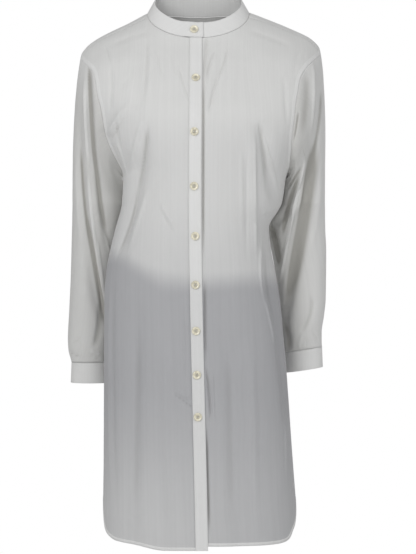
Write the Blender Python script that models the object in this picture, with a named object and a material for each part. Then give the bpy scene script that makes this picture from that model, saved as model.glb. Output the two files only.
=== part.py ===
"""Knee-length shirt dress with a band collar, in the hollow shape it keeps when worn.

Metres, +Z up. The front faces -Y. "right" and "left" are the wearer's, so right is the -X side.
The origin is the middle of the neck, level with the tops of the shoulders, which carry the dress.

All the body pieces are cut from one skin: a stack of oval sections that is rounded over the shoulders.
Each piece is a grid of points on that skin, pulled back a little at its seams and given the thickness
of the cloth on the inside. The sleeves start from the very points of the armhole that the fronts, the
back and the yoke end at, so the pieces meet seam to seam.
"""

import bisect
import math
from collections import namedtuple

import bmesh
import bpy
from mathutils import Matrix, Vector

RIGHT, LEFT = -1, 1
FRONT, BACK = -1, 1

# ---- cloth ----------------------------------------------------------------------------------
CLOTH = 0.0013  # one layer of shirting, drawn a little thick so that it is a solid wall
DOUBLED = 0.0020  # a folded and interfaced piece: collar, cuffs and front bands
SEAM_GAP = 0.00035  # between the cut edges of two pieces that are sewn together
ANGLED_GAP = 0.0006  # the same along the armholes and side seams, where the walls meet at an angle
LAP_GAP = 0.0004  # between two pieces that lie on each other

# ---- the body: oval sections, from the neck down ---------------------------------------------
# right, left: half widths; front, back: how far it reaches each way; middle: y of the widest place
Section = namedtuple("Section", "z right left front back middle")
BODY = [
    Section(0.040, 0.2260, 0.2260, 0.050, 0.078, 0.010),
    Section(-0.010, 0.2260, 0.2260, 0.056, 0.083, 0.010),
    Section(-0.052, 0.2260, 0.2260, 0.066, 0.092, 0.008),
    Section(-0.100, 0.2250, 0.2250, 0.092, 0.104, 0.005),
    Section(-0.150, 0.2220, 0.2220, 0.116, 0.111, 0.003),
    Section(-0.200, 0.2040, 0.2060, 0.133, 0.113, 0.002),
    Section(-0.250, 0.1740, 0.1840, 0.138, 0.110, 0.002),
    Section(-0.300, 0.1420, 0.1600, 0.135, 0.105, 0.000),
    Section(-0.350, 0.1435, 0.1510, 0.131, 0.103, -0.004),
    Section(-0.396, 0.1550, 0.1270, 0.129, 0.104, -0.008),
    Section(-0.437, 0.1650, 0.1310, 0.128, 0.106, -0.012),
    Section(-0.474, 0.1720, 0.1380, 0.128, 0.108, -0.015),
    Section(-0.529, 0.1760, 0.1470, 0.129, 0.111, -0.018),
    Section(-0.603, 0.1760, 0.1540, 0.130, 0.114, -0.020),
    Section(-0.700, 0.1765, 0.1620, 0.131, 0.118, -0.020),
    Section(-0.800, 0.1770, 0.1690, 0.132, 0.121, -0.020),
    Section(-0.900, 0.1780, 0.1760, 0.134, 0.125, -0.020),
    Section(-1.000, 0.1780, 0.1800, 0.135, 0.127, -0.020),
]
SQUARENESS = {FRONT: 2.3, BACK: 2.1}  # 2 is an ellipse; more is flatter in the middle

# ---- shoulders and neck ---------------------------------------------------------------------
NECK_MIDDLE = -0.003
NECK_HALF_WIDTH = 0.094
NECK_FRONT_DROP = 0.052
NECK_BACK_REACH = 0.053
RIDGE_Y = 0.012
SHOULDER_ROUND = 0.080  # height over which the cloth rounds off from the ridge to the chest
Ridge = namedtuple("Ridge", "out right left")  # out: distance from the middle of the neck; the rest: z
SHOULDER_RIDGE = [
    Ridge(0.0000, 0.0310, 0.0310),
    Ridge(0.0300, 0.0285, 0.0285),
    Ridge(0.0600, 0.0195, 0.0200),
    Ridge(0.0940, 0.0030, 0.0040),
    Ridge(0.1150, -0.0085, -0.0035),
    Ridge(0.1340, -0.0186, -0.0110),
    Ridge(0.1530, -0.0275, -0.0186),
    Ridge(0.1800, -0.0408, -0.0300),
    Ridge(0.2030, -0.0560, -0.0408),
    Ridge(0.2180, -0.0735, -0.0530),
    Ridge(0.2265, -0.0880, -0.0640),
    Ridge(0.2340, -0.1050, -0.0850),
]
SHOULDER_SEAM_DROP = 0.0085  # the yoke's front seam lies this far below the ridge
NECK_SEAM_ANGLE = 80.0  # where the yoke's front seam meets the neck, from centre front
YOKE_Z = -0.108
YOKE_CORNER_X = 0.128  # where the column from the end of the front neck seam meets the yoke's back seam
YOKE_END_BULGE = 0.004  # the armhole's line swells outward where it crosses the shoulder

# ---- armholes -------------------------------------------------------------------------------
ArmholePoint = namedtuple("ArmholePoint", "z right left")
ARMHOLE_END_X = {RIGHT: -0.2210, LEFT: 0.2235}
UNDERARM_Z = -0.300
FRONT_ARMHOLE = [
    ArmholePoint(-0.0975, 0.2080, 0.2020),
    ArmholePoint(-0.1160, 0.1930, 0.1860),
    ArmholePoint(-0.1460, 0.1870, 0.1780),
    ArmholePoint(-0.1680, 0.1820, 0.1745),
    ArmholePoint(-0.2000, 0.1760, 0.1710),
    ArmholePoint(-0.2300, 0.1700, 0.1670),
    ArmholePoint(-0.2580, 0.1600, 0.1655),
    ArmholePoint(-0.2820, 0.1480, 0.1640),
]
BACK_ARMHOLE = [
    ArmholePoint(-0.108, 0.2030, 0.2030),
    ArmholePoint(-0.150, 0.1930, 0.1930),
    ArmholePoint(-0.190, 0.1860, 0.1860),
    ArmholePoint(-0.230, 0.1740, 0.1780),
    ArmholePoint(-0.262, 0.1610, 0.1680),
    ArmholePoint(-0.285, 0.1490, 0.1630),
]

MITRE_LEAST = 0.65  # a sharper seam is not drawn out to its full point

# ---- hem ------------------------------------------------------------------------------------
HEM_Z = -0.975
HemPoint = namedtuple("HemPoint", "angle right left back")  # how far the hem rises round each quarter
HEM_RISE = [
    HemPoint(0, 0.0010, 0.0085, 0.0030),
    HemPoint(20, 0.0005, 0.0080, 0.0030),
    HemPoint(37, 0.0080, 0.0080, 0.0060),
    HemPoint(48, 0.0110, 0.0085, 0.0090),
    HemPoint(56, 0.0135, 0.0105, 0.0125),
    HemPoint(62, 0.0180, 0.0155, 0.0170),
    HemPoint(68, 0.0240, 0.0280, 0.0260),
    HemPoint(74, 0.0350, 0.0385, 0.0370),
    HemPoint(80, 0.0560, 0.0520, 0.0540),
    HemPoint(90, 0.0800, 0.0800, 0.0800),
]

# ---- front bands and buttons ----------------------------------------------------------------
BAND_WIDTH = 0.022
BAND_LAP = 0.002  # how far the upper band reaches over each front
BandPoint = namedtuple("BandPoint", "z x")
BAND_MIDDLE = [
    BandPoint(0.000, -0.0070),
    BandPoint(-0.125, -0.0072),
    BandPoint(-0.350, -0.0084),
    BandPoint(-0.528, -0.0061),
    BandPoint(-0.706, -0.0020),
    BandPoint(-0.937, 0.0032),
    BandPoint(-1.000, 0.0045),
]
BUTTON_RADIUS = 0.0075
BUTTON_HEIGHT = 0.0024
BUTTON_RIM = 0.0013
BUTTON_DISH = 0.0007
BUTTON_HOLE_RADIUS = 0.00085
BUTTON_HOLE_SPREAD = 0.0016  # from the middle of the button to the middle of a hole, along x and y
BUTTON_SIDES = 14
BUTTON_HOLE_SIDES = 5
ButtonPlace = namedtuple("ButtonPlace", "z aside")  # aside: from the middle of the band
FRONT_BUTTONS = [
    ButtonPlace(-0.1304, 0.0000),
    ButtonPlace(-0.2284, -0.0015),
    ButtonPlace(-0.3245, -0.0015),
    ButtonPlace(-0.4136, 0.0000),
    ButtonPlace(-0.5008, -0.0010),
    ButtonPlace(-0.5828, -0.0016),
    ButtonPlace(-0.6611, -0.0020),
    ButtonPlace(-0.7359, -0.0020),
]

# ---- collar ---------------------------------------------------------------------------------
CollarTop = namedtuple("CollarTop", "angle lean z")  # angle: from centre front; lean: towards the neck
COLLAR_TOP = [
    CollarTop(0, 0.0090, -0.0239),
    CollarTop(20, 0.0090, -0.0208),
    CollarTop(35, 0.0095, -0.0145),
    CollarTop(51, 0.0105, -0.0040),
    CollarTop(75, 0.0120, 0.0140),
    CollarTop(90, 0.0145, 0.0275),
    CollarTop(120, 0.0135, 0.0345),
    CollarTop(180, 0.0100, 0.0385),
]
COLLAR_UPPER_END = 6.0  # degrees round the neck from centre front, on the wearer's left
COLLAR_UNDER_END = -367.5
COLLAR_BUTTON_ANGLE = -4.8
COLLAR_LIFT_FROM = -24.0  # from here to the upper end the band rises over the end beneath it
COLLAR_LIFT_FULL = -11.0

# ---- sleeves and cuffs ----------------------------------------------------------------------
# outer, inner: distances from the dress's middle; front, back: y
SleeveSection = namedtuple("SleeveSection", "z outer inner front back")
SLEEVES = {
    RIGHT: [
        SleeveSection(-0.350, 0.2385, 0.1410, -0.018, 0.088),
        SleeveSection(-0.396, 0.2400, 0.1490, -0.006, 0.098),
        SleeveSection(-0.440, 0.2420, 0.1540, 0.006, 0.106),
        SleeveSection(-0.500, 0.2440, 0.1590, 0.014, 0.112),
        SleeveSection(-0.560, 0.2470, 0.1610, 0.017, 0.111),
        SleeveSection(-0.600, 0.2490, 0.1640, 0.018, 0.108),
        SleeveSection(-0.624, 0.2475, 0.1665, 0.020, 0.103),
        SleeveSection(-0.640, 0.2435, 0.1690, 0.024, 0.097),
        SleeveSection(-0.6465, 0.2420, 0.1700, 0.026, 0.095),
    ],
    LEFT: [
        SleeveSection(-0.350, 0.2330, 0.1525, -0.020, 0.088),
        SleeveSection(-0.396, 0.2345, 0.1260, -0.004, 0.096),
        SleeveSection(-0.440, 0.2365, 0.1350, 0.006, 0.102),
        SleeveSection(-0.480, 0.2366, 0.1420, 0.012, 0.106),
        SleeveSection(-0.530, 0.2366, 0.1470, 0.015, 0.107),
        SleeveSection(-0.565, 0.2335, 0.1530, 0.016, 0.105),
        SleeveSection(-0.595, 0.2290, 0.1570, 0.019, 0.102),
        SleeveSection(-0.616, 0.2290, 0.1610, 0.024, 0.097),
        SleeveSection(-0.6225, 0.2295, 0.1620, 0.026, 0.095),
    ],
}
CAP_SWELL = 0.26  # how far the sleeve head stands out from the armhole, as a share of its length
CAP_HANG = 0.36  # how far it then hangs straight down
CUFF_DROP = 0.0385
CUFF_FLARE = 0.0015
CUFF_TILT = {RIGHT: 0.0, LEFT: 0.0055}  # how much higher the cuff is on its outer side
CUFF_LAP_ANGLE = 285.0  # middle of the overlap, round the wrist: 0 outer, 90 front, 180 inner
CUFF_LAP = 30.0

# ---- folds ----------------------------------------------------------------------------------
# A fold is a soft trough, or a ridge where its depth is negative, along a curve through 3 places.
Fold = namedtuple("Fold", "face top_z top_x mid_z mid_x low_z low_x half_width depth")
BODY_FOLDS = [
    # from the right bust down to the hip, with the ridge beside it
    Fold(FRONT, -0.205, -0.0940, -0.300, -0.1085, -0.475, -0.1500, 0.0120, 0.0065),
    Fold(FRONT, -0.260, -0.1230, -0.350, -0.1330, -0.470, -0.1620, 0.0100, -0.0030),
    # from the left bust to the elbow, with the ridge on its inner side
    Fold(FRONT, -0.200, 0.1040, -0.270, 0.1230, -0.370, 0.1400, 0.0130, 0.0065),
    Fold(FRONT, -0.215, 0.0930, -0.330, 0.0950, -0.450, 0.0990, 0.0080, -0.0030),
    # down the left hip, behind the edge of the front
    Fold(FRONT, -0.385, 0.1120, -0.550, 0.1390, -0.800, 0.1670, 0.0090, 0.0065),
    # chest: from the shoulders and beside the front bands
    Fold(FRONT, -0.045, -0.1070, -0.125, -0.1120, -0.200, -0.1100, 0.0100, 0.0025),
    Fold(FRONT, -0.175, -0.1370, -0.206, -0.1530, -0.235, -0.1680, 0.0055, -0.0025),
    Fold(FRONT, -0.065, 0.0440, -0.135, 0.0310, -0.205, 0.0160, 0.0080, 0.0020),
    # skirt, front
    Fold(FRONT, -0.480, -0.1180, -0.800, -0.1230, -1.200, -0.1300, 0.0200, 0.0030),
    Fold(FRONT, -0.520, 0.0650, -0.800, 0.0700, -1.200, 0.0800, 0.0220, 0.0030),
    # back, from the shoulder blades to the hem
    Fold(BACK, -0.150, -0.0800, -0.600, -0.1020, -1.200, -0.1250, 0.0170, 0.0070),
    Fold(BACK, -0.220, -0.0200, -0.600, -0.0300, -1.200, -0.0420, 0.0150, 0.0045),
    Fold(BACK, -0.200, 0.0340, -0.600, 0.0480, -1.200, 0.0600, 0.0160, 0.0060),
    Fold(BACK, -0.170, 0.0880, -0.550, 0.0980, -1.200, 0.1250, 0.0170, 0.0070),
]
# On a sleeve the places are angles: 0 outer, 90 front, 180 inner, 270 back.
SleeveFold = namedtuple("SleeveFold", "top_z top_at mid_z mid_at low_z low_at half_width depth")
SLEEVE_FOLDS = {
    RIGHT: [
        SleeveFold(-0.110, 76, -0.300, 90, -0.450, 143, 15, 0.0055),
        SleeveFold(-0.150, 44, -0.390, 66, -0.600, 130, 14, 0.0060),
        SleeveFold(-0.260, 300, -0.430, 280, -0.620, 250, 20, 0.0050),
        SleeveFold(-0.200, 245, -0.340, 232, -0.520, 212, 20, 0.0045),
    ],
    LEFT: [
        SleeveFold(-0.180, 60, -0.372, 92, -0.610, 150, 14, 0.0060),
        SleeveFold(-0.210, 82, -0.316, 108, -0.420, 155, 15, 0.0060),
        SleeveFold(-0.260, 300, -0.430, 280, -0.610, 250, 20, 0.0050),
        SleeveFold(-0.200, 245, -0.340, 232, -0.520, 212, 20, 0.0045),
    ],
}
FOLD_FADE = 0.22  # share of a fold's length over which each end dies away
SIDE_CALM = 0.35  # folds die away towards the side seams, where the depth share is below this

# ---- how finely the pieces are divided -------------------------------------------------------
NECK_COLUMNS = 7
SHOULDER_COLUMNS = 7
ARMHOLE_ROWS_FRONT = 9
ARMHOLE_ROWS_BACK = 8
SIDE_ROWS = 25
YOKE_ROWS = 5
YOKE_NECK_COLUMNS = 10
CAP_ROWS = 9
SLEEVE_ROWS = 12
COLLAR_STEP = 15.0  # degrees: the collar's columns are closer together than this
COLLAR_ROWS = 2
CUFF_COLUMNS = 26
CUFF_ROWS = 2

MATERIALS = {
    "cotton": ((0.80, 0.80, 0.79), 0.75, 0.0),
    "cotton_doubled": ((0.84, 0.84, 0.83), 0.72, 0.0),
    "shell_button": ((0.78, 0.74, 0.64), 0.30, 0.0),
}


# ---- curves ---------------------------------------------------------------------------------
def smooth(t):
    """0 below 0, 1 above 1, and an even rise between."""
    t = min(1.0, max(0.0, t))
    return t * t * (3.0 - 2.0 * t)


def curve_through(places, values):
    """A function: the smooth curve through these values, without overshoot, and level past its ends."""
    steps = [b - a for a, b in zip(places, places[1:])]
    slopes = [(b - a) / h for a, b, h in zip(values, values[1:], steps)]
    tangents = [slopes[0]]
    for before, after, h0, h1 in zip(slopes, slopes[1:], steps, steps[1:]):
        if before * after <= 0.0:
            tangents.append(0.0)
        else:
            w0, w1 = 2.0 * h1 + h0, h1 + 2.0 * h0
            tangents.append((w0 + w1) / (w0 / before + w1 / after))
    tangents.append(slopes[-1])

    def at(place):
        place = min(places[-1], max(places[0], place))
        i = max(k for k in range(len(steps)) if places[k] <= place)
        h = steps[i]
        t = (place - places[i]) / h
        return (
            (2 * t**3 - 3 * t**2 + 1) * values[i]
            + (t**3 - 2 * t**2 + t) * h * tangents[i]
            + (3 * t**2 - 2 * t**3) * values[i + 1]
            + (t**3 - t**2) * h * tangents[i + 1]
        )

    return at


def table_curve(rows, place, value):
    """The smooth curve of one named column of a table against another."""
    rows = sorted(rows, key=lambda row: getattr(row, place))
    return curve_through([getattr(r, place) for r in rows], [getattr(r, value) for r in rows])


def path_through(points):
    """A function of 0 to 1: the smooth path through these points, evenly along its length."""
    lengths = [0.0]
    for a, b in zip(points, points[1:]):
        lengths.append(lengths[-1] + (b - a).length)
    shares = [length / lengths[-1] for length in lengths]
    axes = [curve_through(shares, [p[k] for p in points]) for k in range(len(points[0]))]
    return lambda t: Vector([axis(t) for axis in axes])


def bent_line(top, mid, low, z):
    """The value at height z of the parabola through three (z, value) places, and its slope."""
    (z0, a0), (z1, a1), (z2, a2) = top, mid, low
    first = (a1 - a0) / (z1 - z0)
    second = ((a2 - a1) / (z2 - z1) - first) / (z2 - z0)
    value = a0 + first * (z - z0) + second * (z - z0) * (z - z1)
    return value, first + second * (2 * z - z0 - z1)


def fold_strength(z, top_z, low_z):
    along = (top_z - z) / (top_z - low_z)
    return smooth(along / FOLD_FADE) * smooth((1.0 - along) / FOLD_FADE)


# ---- the skin of the body -------------------------------------------------------------------
HALF_WIDTH = {RIGHT: table_curve(BODY, "z", "right"), LEFT: table_curve(BODY, "z", "left")}
REACH = {FRONT: table_curve(BODY, "z", "front"), BACK: table_curve(BODY, "z", "back")}
WIDEST_Y = table_curve(BODY, "z", "middle")
RIDGE_Z = {
    RIGHT: table_curve(SHOULDER_RIDGE, "out", "right"),
    LEFT: table_curve(SHOULDER_RIDGE, "out", "left"),
}
BAND_X = table_curve(BAND_MIDDLE, "z", "x")
HEM_RISE_AT = {name: table_curve(HEM_RISE, "angle", name) for name in ("right", "left", "back")}


def ridge_z(x):
    return RIDGE_Z[LEFT if x >= NECK_MIDDLE else RIGHT](abs(x - NECK_MIDDLE))


def half_width(x, z):
    return HALF_WIDTH[LEFT if x >= 0 else RIGHT](z)


def depth_share(angle, face):
    """Share of the section's half width and of its reach at an angle from the middle of a face."""
    n = SQUARENESS[face]
    s, c = math.sin(math.radians(angle)), math.cos(math.radians(angle))
    size = (abs(s) ** n + abs(c) ** n) ** (-1.0 / n)
    return s * size, c * size


def angle_of(x, z, face):
    """Inverse of depth_share: the angle at which the section at height z is at x."""
    n = SQUARENESS[face]
    share = min(1.0, abs(x) / half_width(x, z))
    return math.copysign(math.degrees(math.atan2(share, (1.0 - share**n) ** (1.0 / n))), x)


def bare_skin(angle, z, face):
    """The body's skin without folds, and the depth share there."""
    across, depth = depth_share(angle, face)
    x = across * half_width(across, z)
    widest = WIDEST_Y(z)
    y = widest + face * (REACH[face](z) - face * widest) * depth
    drop = min(1.0, max(0.0, ridge_z(x) - z) / SHOULDER_ROUND)
    y = RIDGE_Y + (y - RIDGE_Y) * math.sqrt(1.0 - (1.0 - drop) ** 2)
    return Vector((x, y, z)), depth


def fold_depth(x, z, face):
    """How far the folds push the skin in at a place."""
    total = 0.0
    for f in BODY_FOLDS:
        if f.face != face or not f.low_z < z < f.top_z:
            continue
        middle, slope = bent_line((f.top_z, f.top_x), (f.mid_z, f.mid_x), (f.low_z, f.low_x), z)
        away = (x - middle) / math.hypot(1.0, slope) / f.half_width
        total += f.depth * math.exp(-away * away) * fold_strength(z, f.top_z, f.low_z)
    return total


def facing(point_at, u, v, outside, step_u, step_v):
    """The unit normal of a surface by differences, turned to the same side as `outside`."""
    du = point_at(u + step_u, v) - point_at(u - step_u, v)
    dv = point_at(u, v + step_v) - point_at(u, v - step_v)
    normal = du.cross(dv).normalized()
    return normal if normal.dot(outside) > 0 else -normal


def skin(angle, z, face):
    """A point of the body's skin and the direction out of the cloth there."""
    point, depth = bare_skin(angle, z, face)
    outside = Vector((point.x, face * 0.02 + point.y * 0.8, 0.02))
    normal = facing(lambda a, h: bare_skin(a, h, face)[0], angle, z, outside, 0.5, 0.001)
    push = fold_depth(point.x, z, face) * smooth(depth / SIDE_CALM)
    return point - normal * push, normal


def skin_at(x, z, face):
    return skin(angle_of(x, z, face), z, face)


def over_shoulder(x, turn):
    """The skin where it rounds over the shoulder: turn is 0 on the ridge, -1 where it becomes the
    chest and 1 where it becomes the back. Past 1 it goes straight on down the back."""

    def bare(x, turn):
        face = FRONT if turn < 0 else BACK
        z = ridge_z(x) - SHOULDER_ROUND * (1.0 - math.cos(min(1.0, abs(turn)) * math.pi / 2))
        z -= max(0.0, abs(turn) - 1.0) * SHOULDER_ROUND * math.pi / 2
        return bare_skin(angle_of(x, z, face), z, face)[0]

    outside = Vector((0.2 * x, turn * 0.3, 1.0 - 0.7 * abs(turn)))
    return bare(x, turn), facing(bare, x, turn, outside, 0.002, 0.01)


def turn_at(x, z):
    """How far round the shoulder the skin has turned at x when it has come down to height z."""
    drop = (ridge_z(x) - z) / SHOULDER_ROUND
    if drop >= 1.0:
        return 1.0 + (drop - 1.0) / (math.pi / 2)
    return math.acos(1.0 - max(0.0, drop)) / (math.pi / 2)


# ---- the outlines of the pieces -------------------------------------------------------------
def neck_x(angle):
    return NECK_MIDDLE + NECK_HALF_WIDTH * math.sin(math.radians(angle))


def neck_front_z(angle):
    return -NECK_FRONT_DROP * math.cos(math.radians(angle))


def neck_turn(angle):
    """How far round the shoulder the neck seam lies, angle degrees from centre front."""
    from_front = abs((angle + 180.0) % 360.0 - 180.0)
    x = neck_x(angle)
    if from_front <= NECK_SEAM_ANGLE:
        return -turn_at(x, neck_front_z(angle))
    if from_front < 180.0 - NECK_SEAM_ANGLE:
        side = math.copysign(1.0, x)
        before, after = neck_turn(side * NECK_SEAM_ANGLE), neck_turn(side * (180.0 - NECK_SEAM_ANGLE))
        return before + (after - before) * (from_front - NECK_SEAM_ANGLE) / (180.0 - 2 * NECK_SEAM_ANGLE)
    wanted = -NECK_BACK_REACH * math.cos(math.radians(angle))
    low, high = 0.0, 1.0
    for _ in range(30):
        middle = (low + high) / 2
        if over_shoulder(x, middle)[0].y - RIDGE_Y < wanted:
            low = middle
        else:
            high = middle
    return low


def neck_point(angle):
    """A point of the neck seam and the direction out of the cloth there."""
    if abs((angle + 180.0) % 360.0 - 180.0) <= NECK_SEAM_ANGLE:
        return skin_at(neck_x(angle), neck_front_z(angle), FRONT)
    return over_shoulder(neck_x(angle), neck_turn(angle))


def shoulder_seam_z(x):
    return ridge_z(x) - SHOULDER_SEAM_DROP


def shoulder_seam(side, t):
    """The x and z of the seam between a front and the yoke: t is 0 at the neck, 1 at the armhole."""
    neck = neck_x(side * NECK_SEAM_ANGLE)
    x = neck * (1 - t) + ARMHOLE_END_X[side] * t
    rise = neck_front_z(NECK_SEAM_ANGLE) - shoulder_seam_z(neck)
    return x, shoulder_seam_z(x) + rise * (1 - t) ** 3


def armhole_path(side, face):
    """The armhole on one face, from its top to the underarm, as a path of (angle, z) places."""
    column = "left" if side == LEFT else "right"
    table = FRONT_ARMHOLE if face == FRONT else BACK_ARMHOLE
    places = [(getattr(row, column), row.z) for row in table]
    if face == FRONT:
        places.insert(0, (abs(ARMHOLE_END_X[side]), shoulder_seam_z(ARMHOLE_END_X[side])))
    places.append((HALF_WIDTH[side](UNDERARM_Z), UNDERARM_Z))
    on_skin = [skin_at(side * x, z, face)[0] for x, z in places]
    path = path_through(on_skin)

    def at(t):
        point = path(t)
        return Vector((angle_of(point.x, point.z, face), point.z))

    return at


def hem_z(angle, piece):
    return HEM_Z + HEM_RISE_AT[piece](abs(angle))


def patch(top, bottom, inner, outer):
    """A function (u, v) that fills the space between four edges, each a function of 0 to 1. The bends
    of the side edges die away quickly, so that the rows below the neck don't run into it."""

    def bend(edge, end, v):
        return edge(v) - top(end) * (1 - v) - bottom(end) * v

    def at(u, v):
        straight = top(u) * (1 - v) + bottom(u) * v
        return straight + bend(inner, 0, v) * (1 - u) ** 3 + bend(outer, 1, v) * u**3

    return at


def side_edge(armhole, armhole_share, end_z):
    """An outer edge: down the armhole, then down the side seam to the hem."""
    side_angle = 90.0 * math.copysign(1.0, armhole(1).x)

    def at(v):
        if v <= armhole_share:
            return armhole(v / armhole_share)
        t = (v - armhole_share) / (1.0 - armhole_share)
        return Vector((side_angle, UNDERARM_Z + (end_z - UNDERARM_Z) * t))

    return at


# ---- grids: rows of (point, normal) ---------------------------------------------------------
def band_edge_x(side, z):
    """The cut edge of a front, under the upper band."""
    return BAND_X(z) + side * (BAND_WIDTH / 2 - BAND_LAP)


def front_rows():
    return ARMHOLE_ROWS_FRONT + SIDE_ROWS


def front_neck_angle(side, t):
    """Angle round the neck seam of a front: t is 0 at its cut edge, 1 at the yoke."""
    edge = band_edge_x(side, neck_front_z(0)) - NECK_MIDDLE
    start = math.degrees(math.asin(edge / NECK_HALF_WIDTH))
    return start + (side * NECK_SEAM_ANGLE - start) * t


def back_neck_angle(t):
    """Angle round the neck seam of the yoke, on the left: t is 0 at the front, 1 at centre back."""
    return NECK_SEAM_ANGLE * (1 - t) + 180.0 * t


def band_z(v, piece):
    """Height of the rows at centre front, from the neck seam to the hem."""
    top = neck_front_z(0)
    return top + (hem_z(0, piece) - top) * v


def front_grid(side):
    columns, rows = NECK_COLUMNS + SHOULDER_COLUMNS, front_rows()
    neck_share = NECK_COLUMNS / columns
    piece = "left" if side == LEFT else "right"

    def top(u):
        if u <= neck_share:
            neck_angle = front_neck_angle(side, u / neck_share)
            x, z = neck_x(neck_angle), neck_front_z(neck_angle)
        else:
            x, z = shoulder_seam(side, (u - neck_share) / (1.0 - neck_share))
        return Vector((angle_of(x, z, FRONT), z))

    def inner(v):
        z = band_z(v, piece) + (top(0).y - band_z(0, piece)) * max(0.0, 1 - v * rows)
        return Vector((angle_of(band_edge_x(side, z), z, FRONT), z))

    def bottom(u):
        angle = inner(1).x * (1 - u) + side * 90.0 * u
        return Vector((angle, hem_z(angle, piece)))

    outer = side_edge(armhole_path(side, FRONT), ARMHOLE_ROWS_FRONT / rows, hem_z(90, piece))
    place = patch(top, bottom, inner, outer)
    return [[skin(*place(i / columns, j / rows), FRONT) for i in range(columns + 1)] for j in range(rows + 1)]


def yoke_columns():
    return 2 * SHOULDER_COLUMNS + YOKE_NECK_COLUMNS


def yoke_seam_x(u):
    """The yoke's back seam, from the right armhole to the left. Its columns keep clear of the neck."""
    from_end, side = min(u, 1 - u), RIGHT if u < 0.5 else LEFT
    shoulder = SHOULDER_COLUMNS / yoke_columns()
    if from_end < shoulder:
        t = from_end / shoulder
        return side * (BACK_ARMHOLE[0].left * (1 - t) + YOKE_CORNER_X * t)
    return side * YOKE_CORNER_X * (0.5 - from_end) / (0.5 - shoulder)


def back_grid():
    columns, rows = yoke_columns(), ARMHOLE_ROWS_BACK + SIDE_ROWS

    def top(u):
        return Vector((angle_of(yoke_seam_x(u), YOKE_Z, BACK), YOKE_Z))

    def bottom(u):
        angle = 90.0 * (2 * u - 1)
        return Vector((angle, hem_z(angle, "back")))

    share = ARMHOLE_ROWS_BACK / rows
    right = side_edge(armhole_path(RIGHT, BACK), share, hem_z(90, "back"))
    left = side_edge(armhole_path(LEFT, BACK), share, hem_z(90, "back"))
    place = patch(top, bottom, right, left)
    return [[skin(*place(i / columns, j / rows), BACK) for i in range(columns + 1)] for j in range(rows + 1)]


def yoke_grid():
    columns = yoke_columns()
    shoulder = SHOULDER_COLUMNS / columns

    def top(u):
        side = RIGHT if u < 0.5 else LEFT
        from_end = min(u, 1 - u)
        if from_end < shoulder:
            x, z = shoulder_seam(side, 1 - from_end / shoulder)
            return Vector((x, -turn_at(x, z)))
        t = (from_end - shoulder) / (0.5 - shoulder)
        angle = side * back_neck_angle(t)
        return Vector((neck_x(angle), neck_turn(angle)))

    def bottom(u):
        x = yoke_seam_x(u)
        return Vector((x, turn_at(x, YOKE_Z)))

    def end(side):
        ends = top(0) if side == RIGHT else top(1), bottom(0) if side == RIGHT else bottom(1)

        def at(v):
            place = ends[0] * (1 - v) + ends[1] * v
            place.x += side * YOKE_END_BULGE * math.sin(math.pi * v)
            return place

        return at

    place = patch(top, bottom, end(RIGHT), end(LEFT))
    return [
        [over_shoulder(*place(i / columns, j / YOKE_ROWS)) for i in range(columns + 1)]
        for j in range(YOKE_ROWS + 1)
    ]


def band_grid(upper):
    """The band down the front: 3 columns of points, moved out where it lies on the others."""
    low, high = -BAND_WIDTH / 2, BAND_WIDTH / 2
    if not upper:
        low, high = low + BAND_LAP + SEAM_GAP, high - BAND_LAP - SEAM_GAP
    lift = LAP_GAP + DOUBLED if upper else 0.0
    rows = []
    for j in range(front_rows() + 1):
        z = band_z(j / front_rows(), "right" if upper else "left")
        row = []
        for offset in (low, (low + high) / 2, high):
            point, normal = skin_at(BAND_X(z) + offset, z, FRONT)
            row.append((point + normal * lift, normal))
        rows.append(row)
    return rows


def armhole_loop(side, front, back, yoke):
    """The armhole's points in order: down the front, up the back, over the yoke. The seam is shared."""
    edge = -1 if side == LEFT else 0
    loop = [front[j][-1] for j in range(ARMHOLE_ROWS_FRONT)]
    loop += [back[j][edge] for j in range(ARMHOLE_ROWS_BACK, 0, -1)]
    loop += [yoke[j][edge] for j in range(YOKE_ROWS, 0, -1)]
    return loop


def loop_angles(points):
    """Each armhole point's place round the sleeve in degrees: 0 at the ridge, 180 at the underarm."""
    lengths = [0.0]
    for a, b in zip(points, points[1:] + points[:1]):
        lengths.append(lengths[-1] + (b - a).length)
    top = max(range(len(points)), key=lambda k: points[k].z)
    low = min(range(len(points)), key=lambda k: points[k].z)
    ridge = lengths[top] - lengths[-1]
    angles = []
    for k in range(len(points)):
        if k <= low:
            angles.append(180.0 * (lengths[k] - ridge) / (lengths[low] - ridge))
        else:
            share = (lengths[k] - lengths[low]) / (ridge + lengths[-1] - lengths[low])
            angles.append(180.0 + 180.0 * share)
    return angles


def sleeve_oval(side, z):
    """Centre and half sizes of a sleeve's section at height z."""
    curves = SLEEVE_CURVES[side]
    outer, inner, front, back = (curves[name](z) for name in ("outer", "inner", "front", "back"))
    return side * (outer + inner) / 2, (front + back) / 2, (outer - inner) / 2, (back - front) / 2


SLEEVE_CURVES = {
    side: {name: table_curve(table, "z", name) for name in ("outer", "inner", "front", "back")}
    for side, table in SLEEVES.items()
}


def sleeve_point(side, angle, z):
    """A point of the hanging part of a sleeve, and the direction out of it."""
    cx, cy, a, b = sleeve_oval(side, z)
    c, s = math.cos(math.radians(angle)), math.sin(math.radians(angle))
    top, low = SLEEVES[side][0].z, SLEEVES[side][-1].z
    lean = CUFF_TILT[side] * c * smooth((top - z) / (top - low))
    point = Vector((cx + side * a * c, cy - b * s, z + lean))
    return point, Vector((side * c / a, -s / b, 0)).normalized()


def sleeve_fold_depth(side, angle, z):
    total = 0.0
    for f in SLEEVE_FOLDS[side]:
        if not f.low_z < z < f.top_z:
            continue
        middle, _ = bent_line((f.top_z, f.top_at), (f.mid_z, f.mid_at), (f.low_z, f.low_at), z)
        away = ((angle - middle + 180.0) % 360.0 - 180.0) / f.half_width
        total += f.depth * math.exp(-away * away) * fold_strength(z, f.top_z, f.low_z)
    return total


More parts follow.
